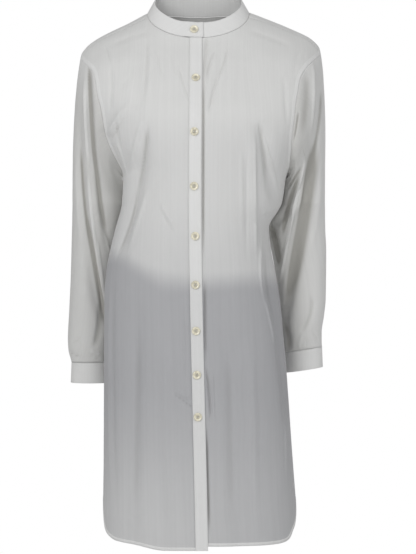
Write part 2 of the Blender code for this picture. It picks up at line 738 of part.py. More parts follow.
def cap_point(start, end, out, t):
    """The sleeve's cap: from an armhole point, out from the body and over, down to the hanging part."""
    span = (end - start).length
    first = start + out * span * CAP_SWELL
    last = end + Vector((0, 0, span * CAP_HANG))
    return (
        start * (1 - t) ** 3 + first * 3 * t * (1 - t) ** 2 + last * 3 * t * t * (1 - t) + end * t**3
    )


def sleeve_grid(side, loop):
    """Rings of points from the armhole to the cuff. Ring 0 is the armhole itself."""
    armhole = [point for point, _ in loop]
    angles = loop_angles(armhole)
    first_z, last_z = SLEEVES[side][0].z, SLEEVES[side][-1].z
    rings = [list(armhole)]
    for j in range(1, CAP_ROWS + SLEEVE_ROWS + 1):
        ring = []
        for start, angle in zip(armhole, angles):
            if j <= CAP_ROWS:
                end, _ = sleeve_point(side, angle, first_z)
                turned = abs(math.sin(math.radians(angle / 2)))
                out = Vector((side * (0.08 + 0.85 * turned), 0.0, 0.70 * turned - 0.95)).normalized()
                point = cap_point(start, end, out, j / CAP_ROWS)
                _, normal = sleeve_point(side, angle, first_z)
            else:
                z = first_z + (last_z - first_z) * (j - CAP_ROWS) / SLEEVE_ROWS
                point, normal = sleeve_point(side, angle, z)
            calm = smooth(j / CAP_ROWS) if j < CAP_ROWS else 1.0
            ring.append(point - normal * sleeve_fold_depth(side, angle, point.z) * calm)
        rings.append(ring)
    return with_normals(rings, side)


def with_normals(rings, side):
    """Adds to each point of a tube the direction out of it, from its neighbours."""
    count = len(rings[0])
    out = []
    for j, ring in enumerate(rings):
        above, below = rings[max(0, j - 1)], rings[min(len(rings) - 1, j + 1)]
        row = []
        for i, point in enumerate(ring):
            round_it = ring[(i + 1) % count] - ring[i - 1]
            down = below[i] - above[i]
            row.append((point, (round_it.cross(down) * side).normalized()))
        out.append(row)
    return out


def mitre(first, second):
    """The direction along which two walls that meet at a seam share the angle, and its stretch."""
    middle = (first + second).normalized()
    return middle / max(MITRE_LEAST, middle.dot(first))


def join_at_armhole(side, loop, sleeve, front, back, yoke):
    """Gives the armhole's points one direction for the walls on both sides of the seam."""
    edge = -1 if side == LEFT else 0
    shared = [mitre(normal, sleeve[0][k][1]) for k, (_, normal) in enumerate(loop)]
    for k, direction in enumerate(shared):
        sleeve[0][k] = (sleeve[0][k][0], direction)
    count = len(shared)
    for j in range(ARMHOLE_ROWS_FRONT + 1):
        front[j][-1] = (front[j][-1][0], shared[j])
    for j in range(ARMHOLE_ROWS_BACK + 1):
        k = ARMHOLE_ROWS_FRONT + ARMHOLE_ROWS_BACK - j
        back[j][edge] = (back[j][edge][0], shared[k])
    for j in range(YOKE_ROWS + 1):
        k = ARMHOLE_ROWS_FRONT + ARMHOLE_ROWS_BACK + YOKE_ROWS - j
        yoke[j][edge] = (yoke[j][edge][0], shared[k % count])


def wrapped_band(low, high, angles, centre, lift_at, rows):
    """A band that goes once round and laps over its own end. low and high are functions of an angle."""
    grid = []
    for j in range(rows + 1):
        row = []
        for angle in angles:
            rise = high(angle) - low(angle)
            out = (high(angle + 0.5) - high(angle - 0.5)).cross(rise).normalized()
            if out.dot(low(angle) - centre) < 0:
                out = -out
            row.append((low(angle) + rise * (1 - j / rows) + out * lift_at(angle), out))
        grid.append(row)
    return grid


COLLAR_LEAN = table_curve(COLLAR_TOP, "angle", "lean")
COLLAR_TOP_Z = table_curve(COLLAR_TOP, "angle", "z")


def neck_seam_angles():
    """The angles of the points that the fronts and the yoke have on the neck seam, from -360 to 0."""
    right = [front_neck_angle(RIGHT, k / NECK_COLUMNS) for k in range(NECK_COLUMNS + 1)]
    left = [front_neck_angle(LEFT, k / NECK_COLUMNS) - 360.0 for k in range(NECK_COLUMNS + 1)]
    half = YOKE_NECK_COLUMNS // 2
    behind = [back_neck_angle(k / half) for k in range(1, half)]
    return sorted(right + left + [-a for a in behind] + [a - 360.0 for a in behind] + [-180.0])


def collar_low(angle):
    """The foot of the collar, just above the neck seam. It runs straight from point to point of it."""
    angle = (angle + 360.0) % 360.0 - 360.0
    places = SEAM_ANGLES
    after = bisect.bisect_left(places, angle)
    if after in (0, len(places)):
        point, _ = neck_point(angle)
    else:
        a, b = places[after - 1], places[after]
        point = neck_point(a)[0].lerp(neck_point(b)[0], (angle - a) / (b - a))
    return point + Vector((0, 0, SEAM_GAP))


def collar_high(angle):
    from_front = abs((angle + 180.0) % 360.0 - 180.0)
    foot, _ = neck_point(angle)
    inward = Vector((NECK_MIDDLE - foot.x, RIDGE_Y - foot.y, 0)).normalized()
    top = foot + inward * COLLAR_LEAN(from_front)
    return Vector((top.x, top.y, COLLAR_TOP_Z(from_front)))


def collar_lift(angle):
    """The upper end, from the wearer's right, lies over the under end."""
    return (DOUBLED + LAP_GAP) * smooth((angle - COLLAR_LIFT_FROM) / (COLLAR_LIFT_FULL - COLLAR_LIFT_FROM))


def collar_grid():
    """From the under end at the wearer's left, round the back, to the upper end at centre front."""
    behind = [(a + b) / 2 for a, b in zip(SEAM_ANGLES, SEAM_ANGLES[1:]) if b - a > COLLAR_STEP]
    ends = [COLLAR_UNDER_END, COLLAR_BUTTON_ANGLE - 360.0, 0.0, COLLAR_UPPER_END]
    angles = sorted(SEAM_ANGLES + behind + ends)
    centre = Vector((NECK_MIDDLE, RIDGE_Y, 0.0))
    return wrapped_band(collar_low, collar_high, angles, centre, collar_lift, COLLAR_ROWS)


def cuff_grid(side):
    bottom_z = SLEEVES[side][-1].z - CUFF_DROP
    wrist = sleeve_oval(side, SLEEVES[side][-1].z)

    def loop(z, ease):
        def at(angle):
            cx, cy, a, b = wrist
            c, s = math.cos(math.radians(angle)), math.sin(math.radians(angle))
            lean = CUFF_TILT[side] * c
            return Vector((cx + side * (a + ease) * c, cy - (b + ease) * s, z + lean))

        return at

    def lift(angle):
        past = angle - (CUFF_LAP_ANGLE + 360.0 - 2 * CUFF_LAP)
        return (DOUBLED + LAP_GAP) * smooth(past / CUFF_LAP)

    high = loop(SLEEVES[side][-1].z - SEAM_GAP, 0.0)
    low = loop(bottom_z, CUFF_FLARE)
    first, turn = CUFF_LAP_ANGLE - CUFF_LAP / 2, 360.0 + CUFF_LAP
    angles = [first + turn * i / CUFF_COLUMNS for i in range(CUFF_COLUMNS + 1)]
    centre = Vector((wrist[0], wrist[1], bottom_z))
    return wrapped_band(low, high, angles, centre, lift, CUFF_ROWS)


# ---- solids ---------------------------------------------------------------------------------
def pulled_back(grid, edges):
    """The grid with each named edge drawn in by half of the gap given for it."""
    points = [[point for point, _ in row] for row in grid]
    last_row, last_column = len(grid) - 1, len(grid[0]) - 1
    inward = {
        "top": [(0, i, 1, i) for i in range(last_column + 1)],
        "bottom": [(last_row, i, last_row - 1, i) for i in range(last_column + 1)],
        "first": [(j, 0, j, 1) for j in range(last_row + 1)],
        "last": [(j, last_column, j, last_column - 1) for j in range(last_row + 1)],
    }
    moved = [row[:] for row in points]
    for edge, gap in edges.items():
        for j, i, j_in, i_in in inward[edge]:
            moved[j][i] = moved[j][i] + (points[j_in][i_in] - points[j][i]).normalized() * gap / 2
    return [[(moved[j][i], grid[j][i][1]) for i in range(last_column + 1)] for j in range(last_row + 1)]


def wall(name, grid, thickness, material, closed=False):
    """A solid wall: the grid is its outer face, and the inner face lies one thickness further in."""
    rows, columns = len(grid) - 1, len(grid[0]) - (0 if closed else 1)
    bm = bmesh.new()
    bmesh.ops.create_grid(bm, x_segments=columns, y_segments=rows, size=0.5)
    inward = bm.verts.layers.float_vector.new("inward")
    for vert in bm.verts:
        i = round((vert.co.x + 0.5) * columns) % len(grid[0])
        j = round((0.5 - vert.co.y) * rows)
        point, normal = grid[j][i]
        vert.co = point
        vert[inward] = normal * -thickness
    if closed:
        bmesh.ops.remove_doubles(bm, verts=bm.verts, dist=1e-7)
    bmesh.ops.triangulate(bm, faces=bm.faces[:], quad_method="SHORT_EDGE")
    made = bmesh.ops.extrude_face_region(bm, geom=bm.faces[:], use_keep_orig=True)
    for item in made["geom"]:
        if isinstance(item, bmesh.types.BMVert):
            item.co += item[inward]
    bm.verts.layers.float_vector.remove(inward)
    bmesh.ops.triangulate(bm, faces=bm.faces[:])
    bmesh.ops.recalc_face_normals(bm, faces=bm.faces[:])
    mesh = bpy.data.meshes.new(name)
    bm.to_mesh(mesh)
    bm.free()
    mesh.shade_smooth()
    mesh.set_sharp_from_angle(angle=math.radians(50))
    return add_object(name, mesh, material)


def add_object(name, mesh, material):
    obj = bpy.data.objects.new(name, mesh)
    bpy.context.scene.collection.objects.link(obj)
    if not mesh.materials:
        mesh.materials.append(material)
    return obj


def button_mesh(material):
    """A round button with a raised rim, a dished middle and four holes, standing on z = 0."""
    profile = [
        (0.0, 0.0),
        (BUTTON_RADIUS, 0.0),
        (BUTTON_RADIUS, BUTTON_HEIGHT),
        (BUTTON_RADIUS - BUTTON_RIM, BUTTON_HEIGHT),
        (BUTTON_RADIUS - 2 * BUTTON_RIM, BUTTON_HEIGHT - BUTTON_DISH),
        (0.0, BUTTON_HEIGHT - BUTTON_DISH),
    ]
    bm = bmesh.new()
    verts = [bm.verts.new((r, 0.0, z)) for r, z in profile]
    for a, b in zip(verts, verts[1:]):
        bm.edges.new((a, b))
    bmesh.ops.spin(
        bm,
        geom=bm.verts[:] + bm.edges[:],
        cent=(0, 0, 0),
        axis=(0, 0, 1),
        angle=2 * math.pi,
        steps=BUTTON_SIDES,
        use_merge=True,
    )
    bmesh.ops.remove_doubles(bm, verts=bm.verts, dist=1e-6)
    bmesh.ops.recalc_face_normals(bm, faces=bm.faces[:])
    whole = bpy.data.meshes.new("button_blank")
    bm.to_mesh(whole)
    bm.free()
    blank = add_object("button_blank", whole, material)
    cutters = []
    for sx in (-1, 1):
        for sy in (-1, 1):
            bm = bmesh.new()
            bmesh.ops.create_cone(
                bm,
                cap_ends=True,
                segments=BUTTON_HOLE_SIDES,
                radius1=BUTTON_HOLE_RADIUS,
                radius2=BUTTON_HOLE_RADIUS,
                depth=BUTTON_HEIGHT * 3,
            )
            bmesh.ops.translate(bm, verts=bm.verts, vec=(sx * BUTTON_HOLE_SPREAD, sy * BUTTON_HOLE_SPREAD, 0))
            hole = bpy.data.meshes.new("hole")
            bm.to_mesh(hole)
            bm.free()
            cutters.append(add_object(f"hole_{sx}_{sy}", hole, material))
            cut = blank.modifiers.new(f"hole_{sx}_{sy}", "BOOLEAN")
            cut.operation = "DIFFERENCE"
            cut.solver = "EXACT"
            cut.object = cutters[-1]
    bpy.context.view_layer.update()
    evaluated = blank.evaluated_get(bpy.context.evaluated_depsgraph_get())
    mesh = bpy.data.meshes.new_from_object(evaluated)
    mesh.name = "button"
    for obj in [blank, *cutters]:
        bpy.data.objects.remove(obj)
    mesh.shade_smooth()
    mesh.set_sharp_from_angle(angle=math.radians(35))
    return mesh


def add_button(name, mesh, point, out, material):
    """A button that lies on a face: point is on the face, out points away from it."""
    obj = add_object(name, mesh, material)
    up = Vector((0, 0, 1)) - out * out.z
    across = up.cross(out).normalized()
    turn = Matrix((across, out.cross(across), out)).transposed().to_4x4()
    obj.matrix_world = Matrix.Translation(point + out * LAP_GAP) @ turn
    return obj


def make_material(name):
    colour, roughness, metallic = MATERIALS[name]
    material = bpy.data.materials.new(name)
    material.use_nodes = True
    shader = material.node_tree.nodes["Principled BSDF"]
    shader.inputs["Base Color"].default_value = (*colour, 1.0)
    shader.inputs["Roughness"].default_value = roughness
    shader.inputs["Metallic"].default_value = metallic
    return material


SEAM_ANGLES = neck_seam_angles()


def main():
    for obj in list(bpy.data.objects):
        bpy.data.objects.remove(obj)
    cotton, doubled, shell = (make_material(n) for n in ("cotton", "cotton_doubled", "shell_button"))

    fronts = {side: front_grid(side) for side in (RIGHT, LEFT)}
    back, yoke = back_grid(), yoke_grid()
    side_name = {RIGHT: "right", LEFT: "left"}
    sleeves = {}
    for side in (RIGHT, LEFT):
        loop = armhole_loop(side, fronts[side], back, yoke)
        sleeves[side] = sleeve_grid(side, loop)
        join_at_armhole(side, loop, sleeves[side], fronts[side], back, yoke)

    for side in (RIGHT, LEFT):
        name = side_name[side]
        front = pulled_back(fronts[side], {"top": SEAM_GAP, "last": ANGLED_GAP})
        sleeve = pulled_back(sleeves[side], {"top": ANGLED_GAP, "bottom": SEAM_GAP})
        wall(f"front_{name}", front, CLOTH, cotton)
        wall(f"sleeve_{name}", sleeve, CLOTH, cotton, closed=True)
        wall(f"cuff_{name}", cuff_grid(side), DOUBLED, doubled)
    sides = {"first": ANGLED_GAP, "last": ANGLED_GAP}
    wall("back", pulled_back(back, {"top": SEAM_GAP, **sides}), CLOTH, cotton)
    wall("yoke", pulled_back(yoke, {"top": SEAM_GAP, "bottom": SEAM_GAP, **sides}), CLOTH, cotton)
    wall("band_upper", band_grid(upper=True), DOUBLED, doubled)
    wall("band_under", band_grid(upper=False), CLOTH, doubled)
    wall("collar", collar_grid(), DOUBLED, doubled)

    button = button_mesh(shell)
    low, high = collar_low(COLLAR_BUTTON_ANGLE), collar_high(COLLAR_BUTTON_ANGLE)
    ahead = collar_low(COLLAR_BUTTON_ANGLE + 0.5) - collar_low(COLLAR_BUTTON_ANGLE - 0.5)
    out = ahead.cross(high - low).normalized()
    add_button("button_collar", button, (low + high) / 2 + out * collar_lift(COLLAR_BUTTON_ANGLE), out, shell)
    for number, place in enumerate(FRONT_BUTTONS, start=1):
        point, out = skin_at(BAND_X(place.z) + place.aside, place.z, FRONT)
        add_button(f"button_front_{number}", button, point + out * (LAP_GAP + DOUBLED), out, shell)
    for side in (RIGHT, LEFT):
        grid = cuff_grid(side)
        point, out = grid[1][-2]
        add_button(f"button_cuff_{side_name[side]}", button, point, out, shell)


main()
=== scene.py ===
"""Shirt dress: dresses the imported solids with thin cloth, creases, sewing and buttons.

Metres, +Z up. The front faces -Y. "right" and "left" are the wearer's, so right is the -X side.
The cloth pieces are the same skin that the solids are cut from, divided more finely, with the small
creases, the welts of the felled seams and the turned hems that the solids leave out.
"""

import bisect
import math
from collections import namedtuple

import bmesh
import bpy
from bpy.props import FloatProperty, FloatVectorProperty, IntProperty, PointerProperty
from mathutils import Matrix, Vector, kdtree, noise


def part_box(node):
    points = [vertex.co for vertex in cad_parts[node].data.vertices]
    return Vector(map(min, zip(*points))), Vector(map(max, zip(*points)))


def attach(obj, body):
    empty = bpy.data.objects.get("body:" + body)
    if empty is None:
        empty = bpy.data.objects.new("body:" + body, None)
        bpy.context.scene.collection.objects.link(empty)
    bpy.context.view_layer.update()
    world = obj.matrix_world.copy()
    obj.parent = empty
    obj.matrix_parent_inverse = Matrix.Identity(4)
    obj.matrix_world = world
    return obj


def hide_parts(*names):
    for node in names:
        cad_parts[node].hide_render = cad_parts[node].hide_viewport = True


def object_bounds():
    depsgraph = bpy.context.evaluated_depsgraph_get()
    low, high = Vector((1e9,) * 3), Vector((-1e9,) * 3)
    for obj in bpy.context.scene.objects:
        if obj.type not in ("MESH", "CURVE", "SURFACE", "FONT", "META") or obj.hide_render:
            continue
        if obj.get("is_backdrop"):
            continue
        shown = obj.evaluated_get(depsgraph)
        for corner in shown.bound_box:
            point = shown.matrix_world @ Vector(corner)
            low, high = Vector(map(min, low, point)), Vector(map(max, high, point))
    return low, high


bl_info = {
    "name": "Shirt Dress",
    "version": (1, 0, 0),
    "blender": (4, 5, 0),
    "location": "View3D > Sidebar > Shirt Dress",
    "description": "Cloth, sewing and buttons of a knee-length shirt dress on its packed solids",
    "category": "Add Mesh",
}

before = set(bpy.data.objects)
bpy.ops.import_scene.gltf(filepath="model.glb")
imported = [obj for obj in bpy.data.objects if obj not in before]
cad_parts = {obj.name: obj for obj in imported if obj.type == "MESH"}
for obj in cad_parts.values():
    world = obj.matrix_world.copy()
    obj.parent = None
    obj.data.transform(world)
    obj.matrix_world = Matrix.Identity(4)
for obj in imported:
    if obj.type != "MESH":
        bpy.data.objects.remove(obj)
CAD_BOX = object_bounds()
BUTTON_LOW, BUTTON_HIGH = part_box("button_front_3")

RIGHT, LEFT = -1, 1
SIDE_NAME = {RIGHT: "right", LEFT: "left"}
FRONT, BACK = -1, 1
EDGES = ("top", "bottom", "first", "last")  # of a grid: its outer rows and columns


def named_rows(columns, *rows):
    """A table: rows of values whose columns have these names."""
    kind = namedtuple("kind", columns)
    return [kind(*row) for row in rows]


# ---- cloth ----
DOUBLED = 0.0020  # a folded and interfaced piece: collar, cuffs and front bands
UNDER_BAND = 0.001  # thickness of the under band, which has no interfacing
SEAM_GAP = 0.00035  # between the cut edges of two pieces that are sewn together
WELT_HEIGHT = 0.00035  # how far the doubled cloth of a felled seam or hem stands up
WELT_FULL, WELT_FADE = 0.85, 0.3  # shares of its width: at full height this far, then falling away
NO_WELT = 4.0  # distance from a welt's line, in welt widths, where there is none
GROOVE_DEPTH = 0.0004  # how far a seam draws the cloth in
GROOVE_WIDTH = 0.0012
HEM_GAP = 0.00005  # between the cloth and the turned layers inside it
HEM_THICKNESS = 1.8  # of the turned layers, in layers of cloth
HEM_FOLD, BAND_FOLD = 0.0003, 0.0004  # how round a folded edge is
EDGE_STITCH = 0.0014  # from an edge to the row of stitches beside it
WARP_PITCH, WEFT_PITCH, WEAVE_HEIGHT = 0.00052, 0.00058, 0.000012
CRUMPLE_HEIGHT, LAYER_HEIGHT, SLUB_HEIGHT = 0.00035, 0.00012, 0.00003  # relief in the finish
ROUGHNESS = 0.78
LAP_GAP = 0.0004  # between two pieces that lie on each other

# ---- the body: oval sections, from the neck down ----
# right, left: half widths; front, back: how far it reaches each way; middle: y of the widest place
BODY = named_rows(
    "z right left front back middle",
    (0.04, 0.226, 0.226, 0.05, 0.078, 0.01),
    (-0.01, 0.226, 0.226, 0.056, 0.083, 0.01),
    (-0.052, 0.226, 0.226, 0.066, 0.092, 0.008),
    (-0.1, 0.225, 0.225, 0.092, 0.104, 0.005),
    (-0.15, 0.222, 0.222, 0.116, 0.111, 0.003),
    (-0.2, 0.204, 0.206, 0.133, 0.113, 0.002),
    (-0.25, 0.174, 0.184, 0.138, 0.11, 0.002),
    (-0.3, 0.142, 0.16, 0.135, 0.105, 0.0),
    (-0.35, 0.1435, 0.151, 0.131, 0.103, -0.004),
    (-0.396, 0.155, 0.127, 0.129, 0.104, -0.008),
    (-0.437, 0.165, 0.131, 0.128, 0.106, -0.012),
    (-0.474, 0.172, 0.138, 0.128, 0.108, -0.015),
    (-0.529, 0.176, 0.147, 0.129, 0.111, -0.018),
    (-0.603, 0.176, 0.154, 0.13, 0.114, -0.02),
    (-0.7, 0.1765, 0.162, 0.131, 0.118, -0.02),
    (-0.8, 0.177, 0.169, 0.132, 0.121, -0.02),
    (-0.9, 0.178, 0.176, 0.134, 0.125, -0.02),
    (-1.0, 0.178, 0.18, 0.135, 0.127, -0.02),
)
SQUARENESS = {FRONT: 2.3, BACK: 2.1}  # 2 is an ellipse; more is flatter in the middle

# ---- shoulders and neck ----
NECK_MIDDLE = -0.003
NECK_HALF_WIDTH = 0.094
NECK_FRONT_DROP = 0.052
NECK_BACK_REACH = 0.053
RIDGE_Y = 0.012
SHOULDER_ROUND = 0.080  # height over which the cloth rounds off from the ridge to the chest
# out: distance from the middle of the neck; the rest: z
SHOULDER_RIDGE = named_rows(
    "out right left",
    (0.0, 0.031, 0.031),
    (0.03, 0.0285, 0.0285),
    (0.06, 0.0195, 0.02),
    (0.094, 0.003, 0.004),
    (0.115, -0.0085, -0.0035),
    (0.134, -0.0186, -0.011),
    (0.153, -0.0275, -0.0186),
    (0.18, -0.0408, -0.03),
    (0.203, -0.056, -0.0408),
    (0.218, -0.0735, -0.053),
    (0.2265, -0.088, -0.064),
    (0.234, -0.105, -0.085),
)
SHOULDER_SEAM_DROP = 0.0085  # the yoke's front seam lies this far below the ridge
NECK_SEAM_ANGLE = 80.0  # where the yoke's front seam meets the neck, from centre front
YOKE_Z = -0.108
YOKE_CORNER_X = 0.128  # where the column from the end of the front neck seam meets the yoke's back seam
YOKE_END_BULGE = 0.004  # the armhole's line swells outward where it crosses the shoulder

# ---- armholes ----
ARMHOLE_END_X = {RIGHT: -0.2210, LEFT: 0.2235}
UNDERARM_Z = -0.300
FRONT_ARMHOLE = named_rows(
    "z right left",
    (-0.0975, 0.208, 0.202),
    (-0.116, 0.193, 0.186),
    (-0.146, 0.187, 0.178),
    (-0.168, 0.182, 0.1745),
    (-0.2, 0.176, 0.171),
    (-0.23, 0.17, 0.167),
    (-0.258, 0.16, 0.1655),
    (-0.282, 0.148, 0.164),
)
BACK_ARMHOLE = named_rows(
    "z right left",
    (-0.108, 0.203, 0.203),
    (-0.15, 0.193, 0.193),
    (-0.19, 0.186, 0.186),
    (-0.23, 0.174, 0.178),
    (-0.262, 0.161, 0.168),
    (-0.285, 0.149, 0.163),
)

MITRE_LEAST = 0.65  # a sharper seam is not drawn out to its full point
SLANT_LEAST = 0.35  # the same where a grid's lines meet an edge at a slant

# ---- hem ----
HEM_Z = -0.975
# how far the hem rises round each quarter
HEM_RISE = named_rows(
    "angle right left back",
    (0, 0.001, 0.0085, 0.003),
    (20, 0.0005, 0.008, 0.003),
    (37, 0.008, 0.008, 0.006),
    (48, 0.011, 0.0085, 0.009),
    (56, 0.0135, 0.0105, 0.0125),
    (62, 0.018, 0.0155, 0.017),
    (68, 0.024, 0.028, 0.026),
    (74, 0.035, 0.0385, 0.037),
    (80, 0.056, 0.052, 0.054),
    (90, 0.08, 0.08, 0.08),
)

# ---- front bands and buttons ----
BAND_WIDTH = 0.022
BAND_LAP = 0.002  # how far the upper band reaches over each front
BAND_MIDDLE = named_rows(
    "z x",
    (0.0, -0.007),
    (-0.125, -0.0072),
    (-0.35, -0.0084),
    (-0.528, -0.0061),
    (-0.706, -0.002),
    (-0.937, 0.0032),
    (-1.0, 0.0045),
)
BUTTON_HEIGHT = 0.0024
BUTTON_DISH = 0.66  # height of the dish's floor, as a share of the button's
# half a button's section, as shares of its radius and height
BUTTON_PROFILE = [
    (0.0, 0.0), (0.8, 0.0), (0.95, 0.22), (1.0, 0.5), (0.985, 0.8), (0.92, 0.97),
    (0.84, 1.0), (0.74, 0.93), (0.64, 0.74), (0.55, BUTTON_DISH), (0.0, BUTTON_DISH),
]
BUTTON_HOLE_RADIUS = 0.00085
BUTTON_HOLE_SPREAD = 0.0016  # from the middle of the button to the middle of a hole, along x and y
BUTTON_CORNERS = [(-1, -1), (-1, 1), (1, -1), (1, 1)]
BUTTON_THREAD = 1.25  # thickness of the thread in a button, in those of the sewing thread
STRAND_STEP, STRAND_DROP = 0.00038, 0.00036  # between its three strands, on top and in a hole
STRAND_RISE = 0.0001  # how far the strands on top stand above the dish's floor
BUTTONHOLE_HALF = 0.0078  # half the length of a buttonhole
BUTTONHOLE_WIDE = 0.0011  # from its slit to its worked edge
BUTTONHOLE_SLIT = 0.00025
BUTTONHOLE_EYE = 0.0002046  # from the middle of a round end to where its stitches start
BUTTONHOLE_PITCH = 0.00046
# aside: from the middle of the band
FRONT_BUTTONS = named_rows(
    "z aside",
    (-0.1304, 0.0),
    (-0.2284, -0.0015),
    (-0.3245, -0.0015),
    (-0.4136, 0.0),
    (-0.5008, -0.001),
    (-0.5828, -0.0016),
    (-0.6611, -0.002),
    (-0.7359, -0.002),
)

# ---- collar ----
# angle: from centre front; lean: towards the neck
COLLAR_TOP = named_rows(
    "angle lean z",
    (0, 0.009, -0.0239),
    (20, 0.009, -0.0208),
    (35, 0.0095, -0.0145),
    (51, 0.0105, -0.004),
    (75, 0.012, 0.014),
    (90, 0.0145, 0.0275),
    (120, 0.0135, 0.0345),
    (180, 0.01, 0.0385),
)
COLLAR_UPPER_END = 6.0  # degrees round the neck from centre front, on the wearer's left
COLLAR_UNDER_END = -367.5
COLLAR_BUTTON_ANGLE = -4.8
COLLAR_LIFT_FROM = -24.0  # from here to the upper end the band rises over the end beneath it
COLLAR_LIFT_FULL = -11.0

# ---- sleeves and cuffs ----
# outer, inner: distances from the dress's middle; front, back: y
SLEEVES = {
    RIGHT: named_rows(
        "z outer inner front back",
        (-0.35, 0.2385, 0.141, -0.018, 0.088),
        (-0.396, 0.24, 0.149, -0.006, 0.098),
        (-0.44, 0.242, 0.154, 0.006, 0.106),
        (-0.5, 0.244, 0.159, 0.014, 0.112),
        (-0.56, 0.247, 0.161, 0.017, 0.111),
        (-0.6, 0.249, 0.164, 0.018, 0.108),
        (-0.624, 0.2475, 0.1665, 0.02, 0.103),
        (-0.64, 0.2435, 0.169, 0.024, 0.097),
        (-0.6465, 0.242, 0.17, 0.026, 0.095),
    ),
    LEFT: named_rows(
        "z outer inner front back",
        (-0.35, 0.233, 0.1525, -0.02, 0.088),
        (-0.396, 0.2345, 0.126, -0.004, 0.096),
        (-0.44, 0.2365, 0.135, 0.006, 0.102),
        (-0.48, 0.2366, 0.142, 0.012, 0.106),
        (-0.53, 0.2366, 0.147, 0.015, 0.107),
        (-0.565, 0.2335, 0.149, 0.016, 0.105),
        (-0.595, 0.229, 0.1515, 0.019, 0.102),
        (-0.616, 0.229, 0.155, 0.024, 0.097),
        (-0.6225, 0.2295, 0.156, 0.026, 0.095),
    ),
}
CAP_SWELL = 0.26  # how far the sleeve head stands out from the armhole, as a share of its length
CAP_HANG = 0.36  # how far it then hangs straight down
CUFF_DROP = 0.0385
CUFF_FLARE = 0.0015
CUFF_TILT = {RIGHT: 0.0, LEFT: 0.0055}  # how much higher the cuff is on its outer side
CUFF_LAP_ANGLE = 285.0  # middle of the overlap, round the wrist: 0 outer, 90 front, 180 inner
CUFF_LAP = 30.0

# ---- folds ----
# A fold is a soft trough, or a ridge where its depth is negative, along a curve through 3 places.
BODY_FOLDS = named_rows(
    "face top_z top_x mid_z mid_x low_z low_x half_width depth",
    # from the right bust down to the hip, with the ridge beside it
    (FRONT, -0.205, -0.094, -0.3, -0.1085, -0.475, -0.15, 0.012, 0.0065),
    (FRONT, -0.26, -0.123, -0.35, -0.133, -0.47, -0.162, 0.01, -0.003),
    # from the left bust to the elbow, with the ridge on its inner side
    (FRONT, -0.2, 0.104, -0.27, 0.123, -0.37, 0.14, 0.013, 0.0065),
    (FRONT, -0.215, 0.093, -0.33, 0.095, -0.45, 0.099, 0.008, -0.003),
    # down the left hip, behind the edge of the front
    (FRONT, -0.385, 0.112, -0.55, 0.139, -0.8, 0.167, 0.009, 0.0065),
    # chest: from the shoulders and beside the front bands
    (FRONT, -0.045, -0.107, -0.125, -0.112, -0.2, -0.11, 0.01, 0.0025),
    (FRONT, -0.175, -0.137, -0.206, -0.153, -0.235, -0.168, 0.0055, -0.0025),
    (FRONT, -0.065, 0.044, -0.135, 0.031, -0.205, 0.016, 0.008, 0.002),
    # skirt, front
    (FRONT, -0.48, -0.118, -0.8, -0.123, -1.2, -0.13, 0.02, 0.003),
    (FRONT, -0.52, 0.065, -0.8, 0.07, -1.2, 0.08, 0.022, 0.003),
    # back, from the shoulder blades to the hem
    (BACK, -0.15, -0.08, -0.6, -0.102, -1.2, -0.125, 0.017, 0.007),
    (BACK, -0.22, -0.02, -0.6, -0.03, -1.2, -0.042, 0.015, 0.0045),
    (BACK, -0.2, 0.034, -0.6, 0.048, -1.2, 0.06, 0.016, 0.006),
    (BACK, -0.17, 0.088, -0.55, 0.098, -1.2, 0.125, 0.017, 0.007),
)
# On a sleeve the places are angles: 0 outer, 90 front, 180 inner, 270 back.
SLEEVE_FOLDS = {
    RIGHT: named_rows(
        "top_z top_at mid_z mid_at low_z low_at half_width depth",
        (-0.11, 76, -0.3, 90, -0.45, 143, 15, 0.0055),
        (-0.15, 44, -0.39, 66, -0.6, 130, 14, 0.006),
        (-0.26, 300, -0.43, 280, -0.62, 250, 20, 0.005),
        (-0.2, 245, -0.34, 232, -0.52, 212, 20, 0.0045),
        (-0.262, 196, -0.312, 199, -0.385, 200, 30, -0.0185),
    ),
    LEFT: named_rows(
        "top_z top_at mid_z mid_at low_z low_at half_width depth",
        (-0.18, 60, -0.372, 92, -0.61, 150, 14, 0.006),
        (-0.21, 82, -0.316, 108, -0.42, 155, 15, 0.006),
        (-0.26, 300, -0.43, 280, -0.61, 250, 20, 0.005),
        (-0.2, 245, -0.34, 232, -0.52, 212, 20, 0.0045),
        (-0.262, 196, -0.312, 199, -0.385, 200, 30, -0.0185),
    ),
}
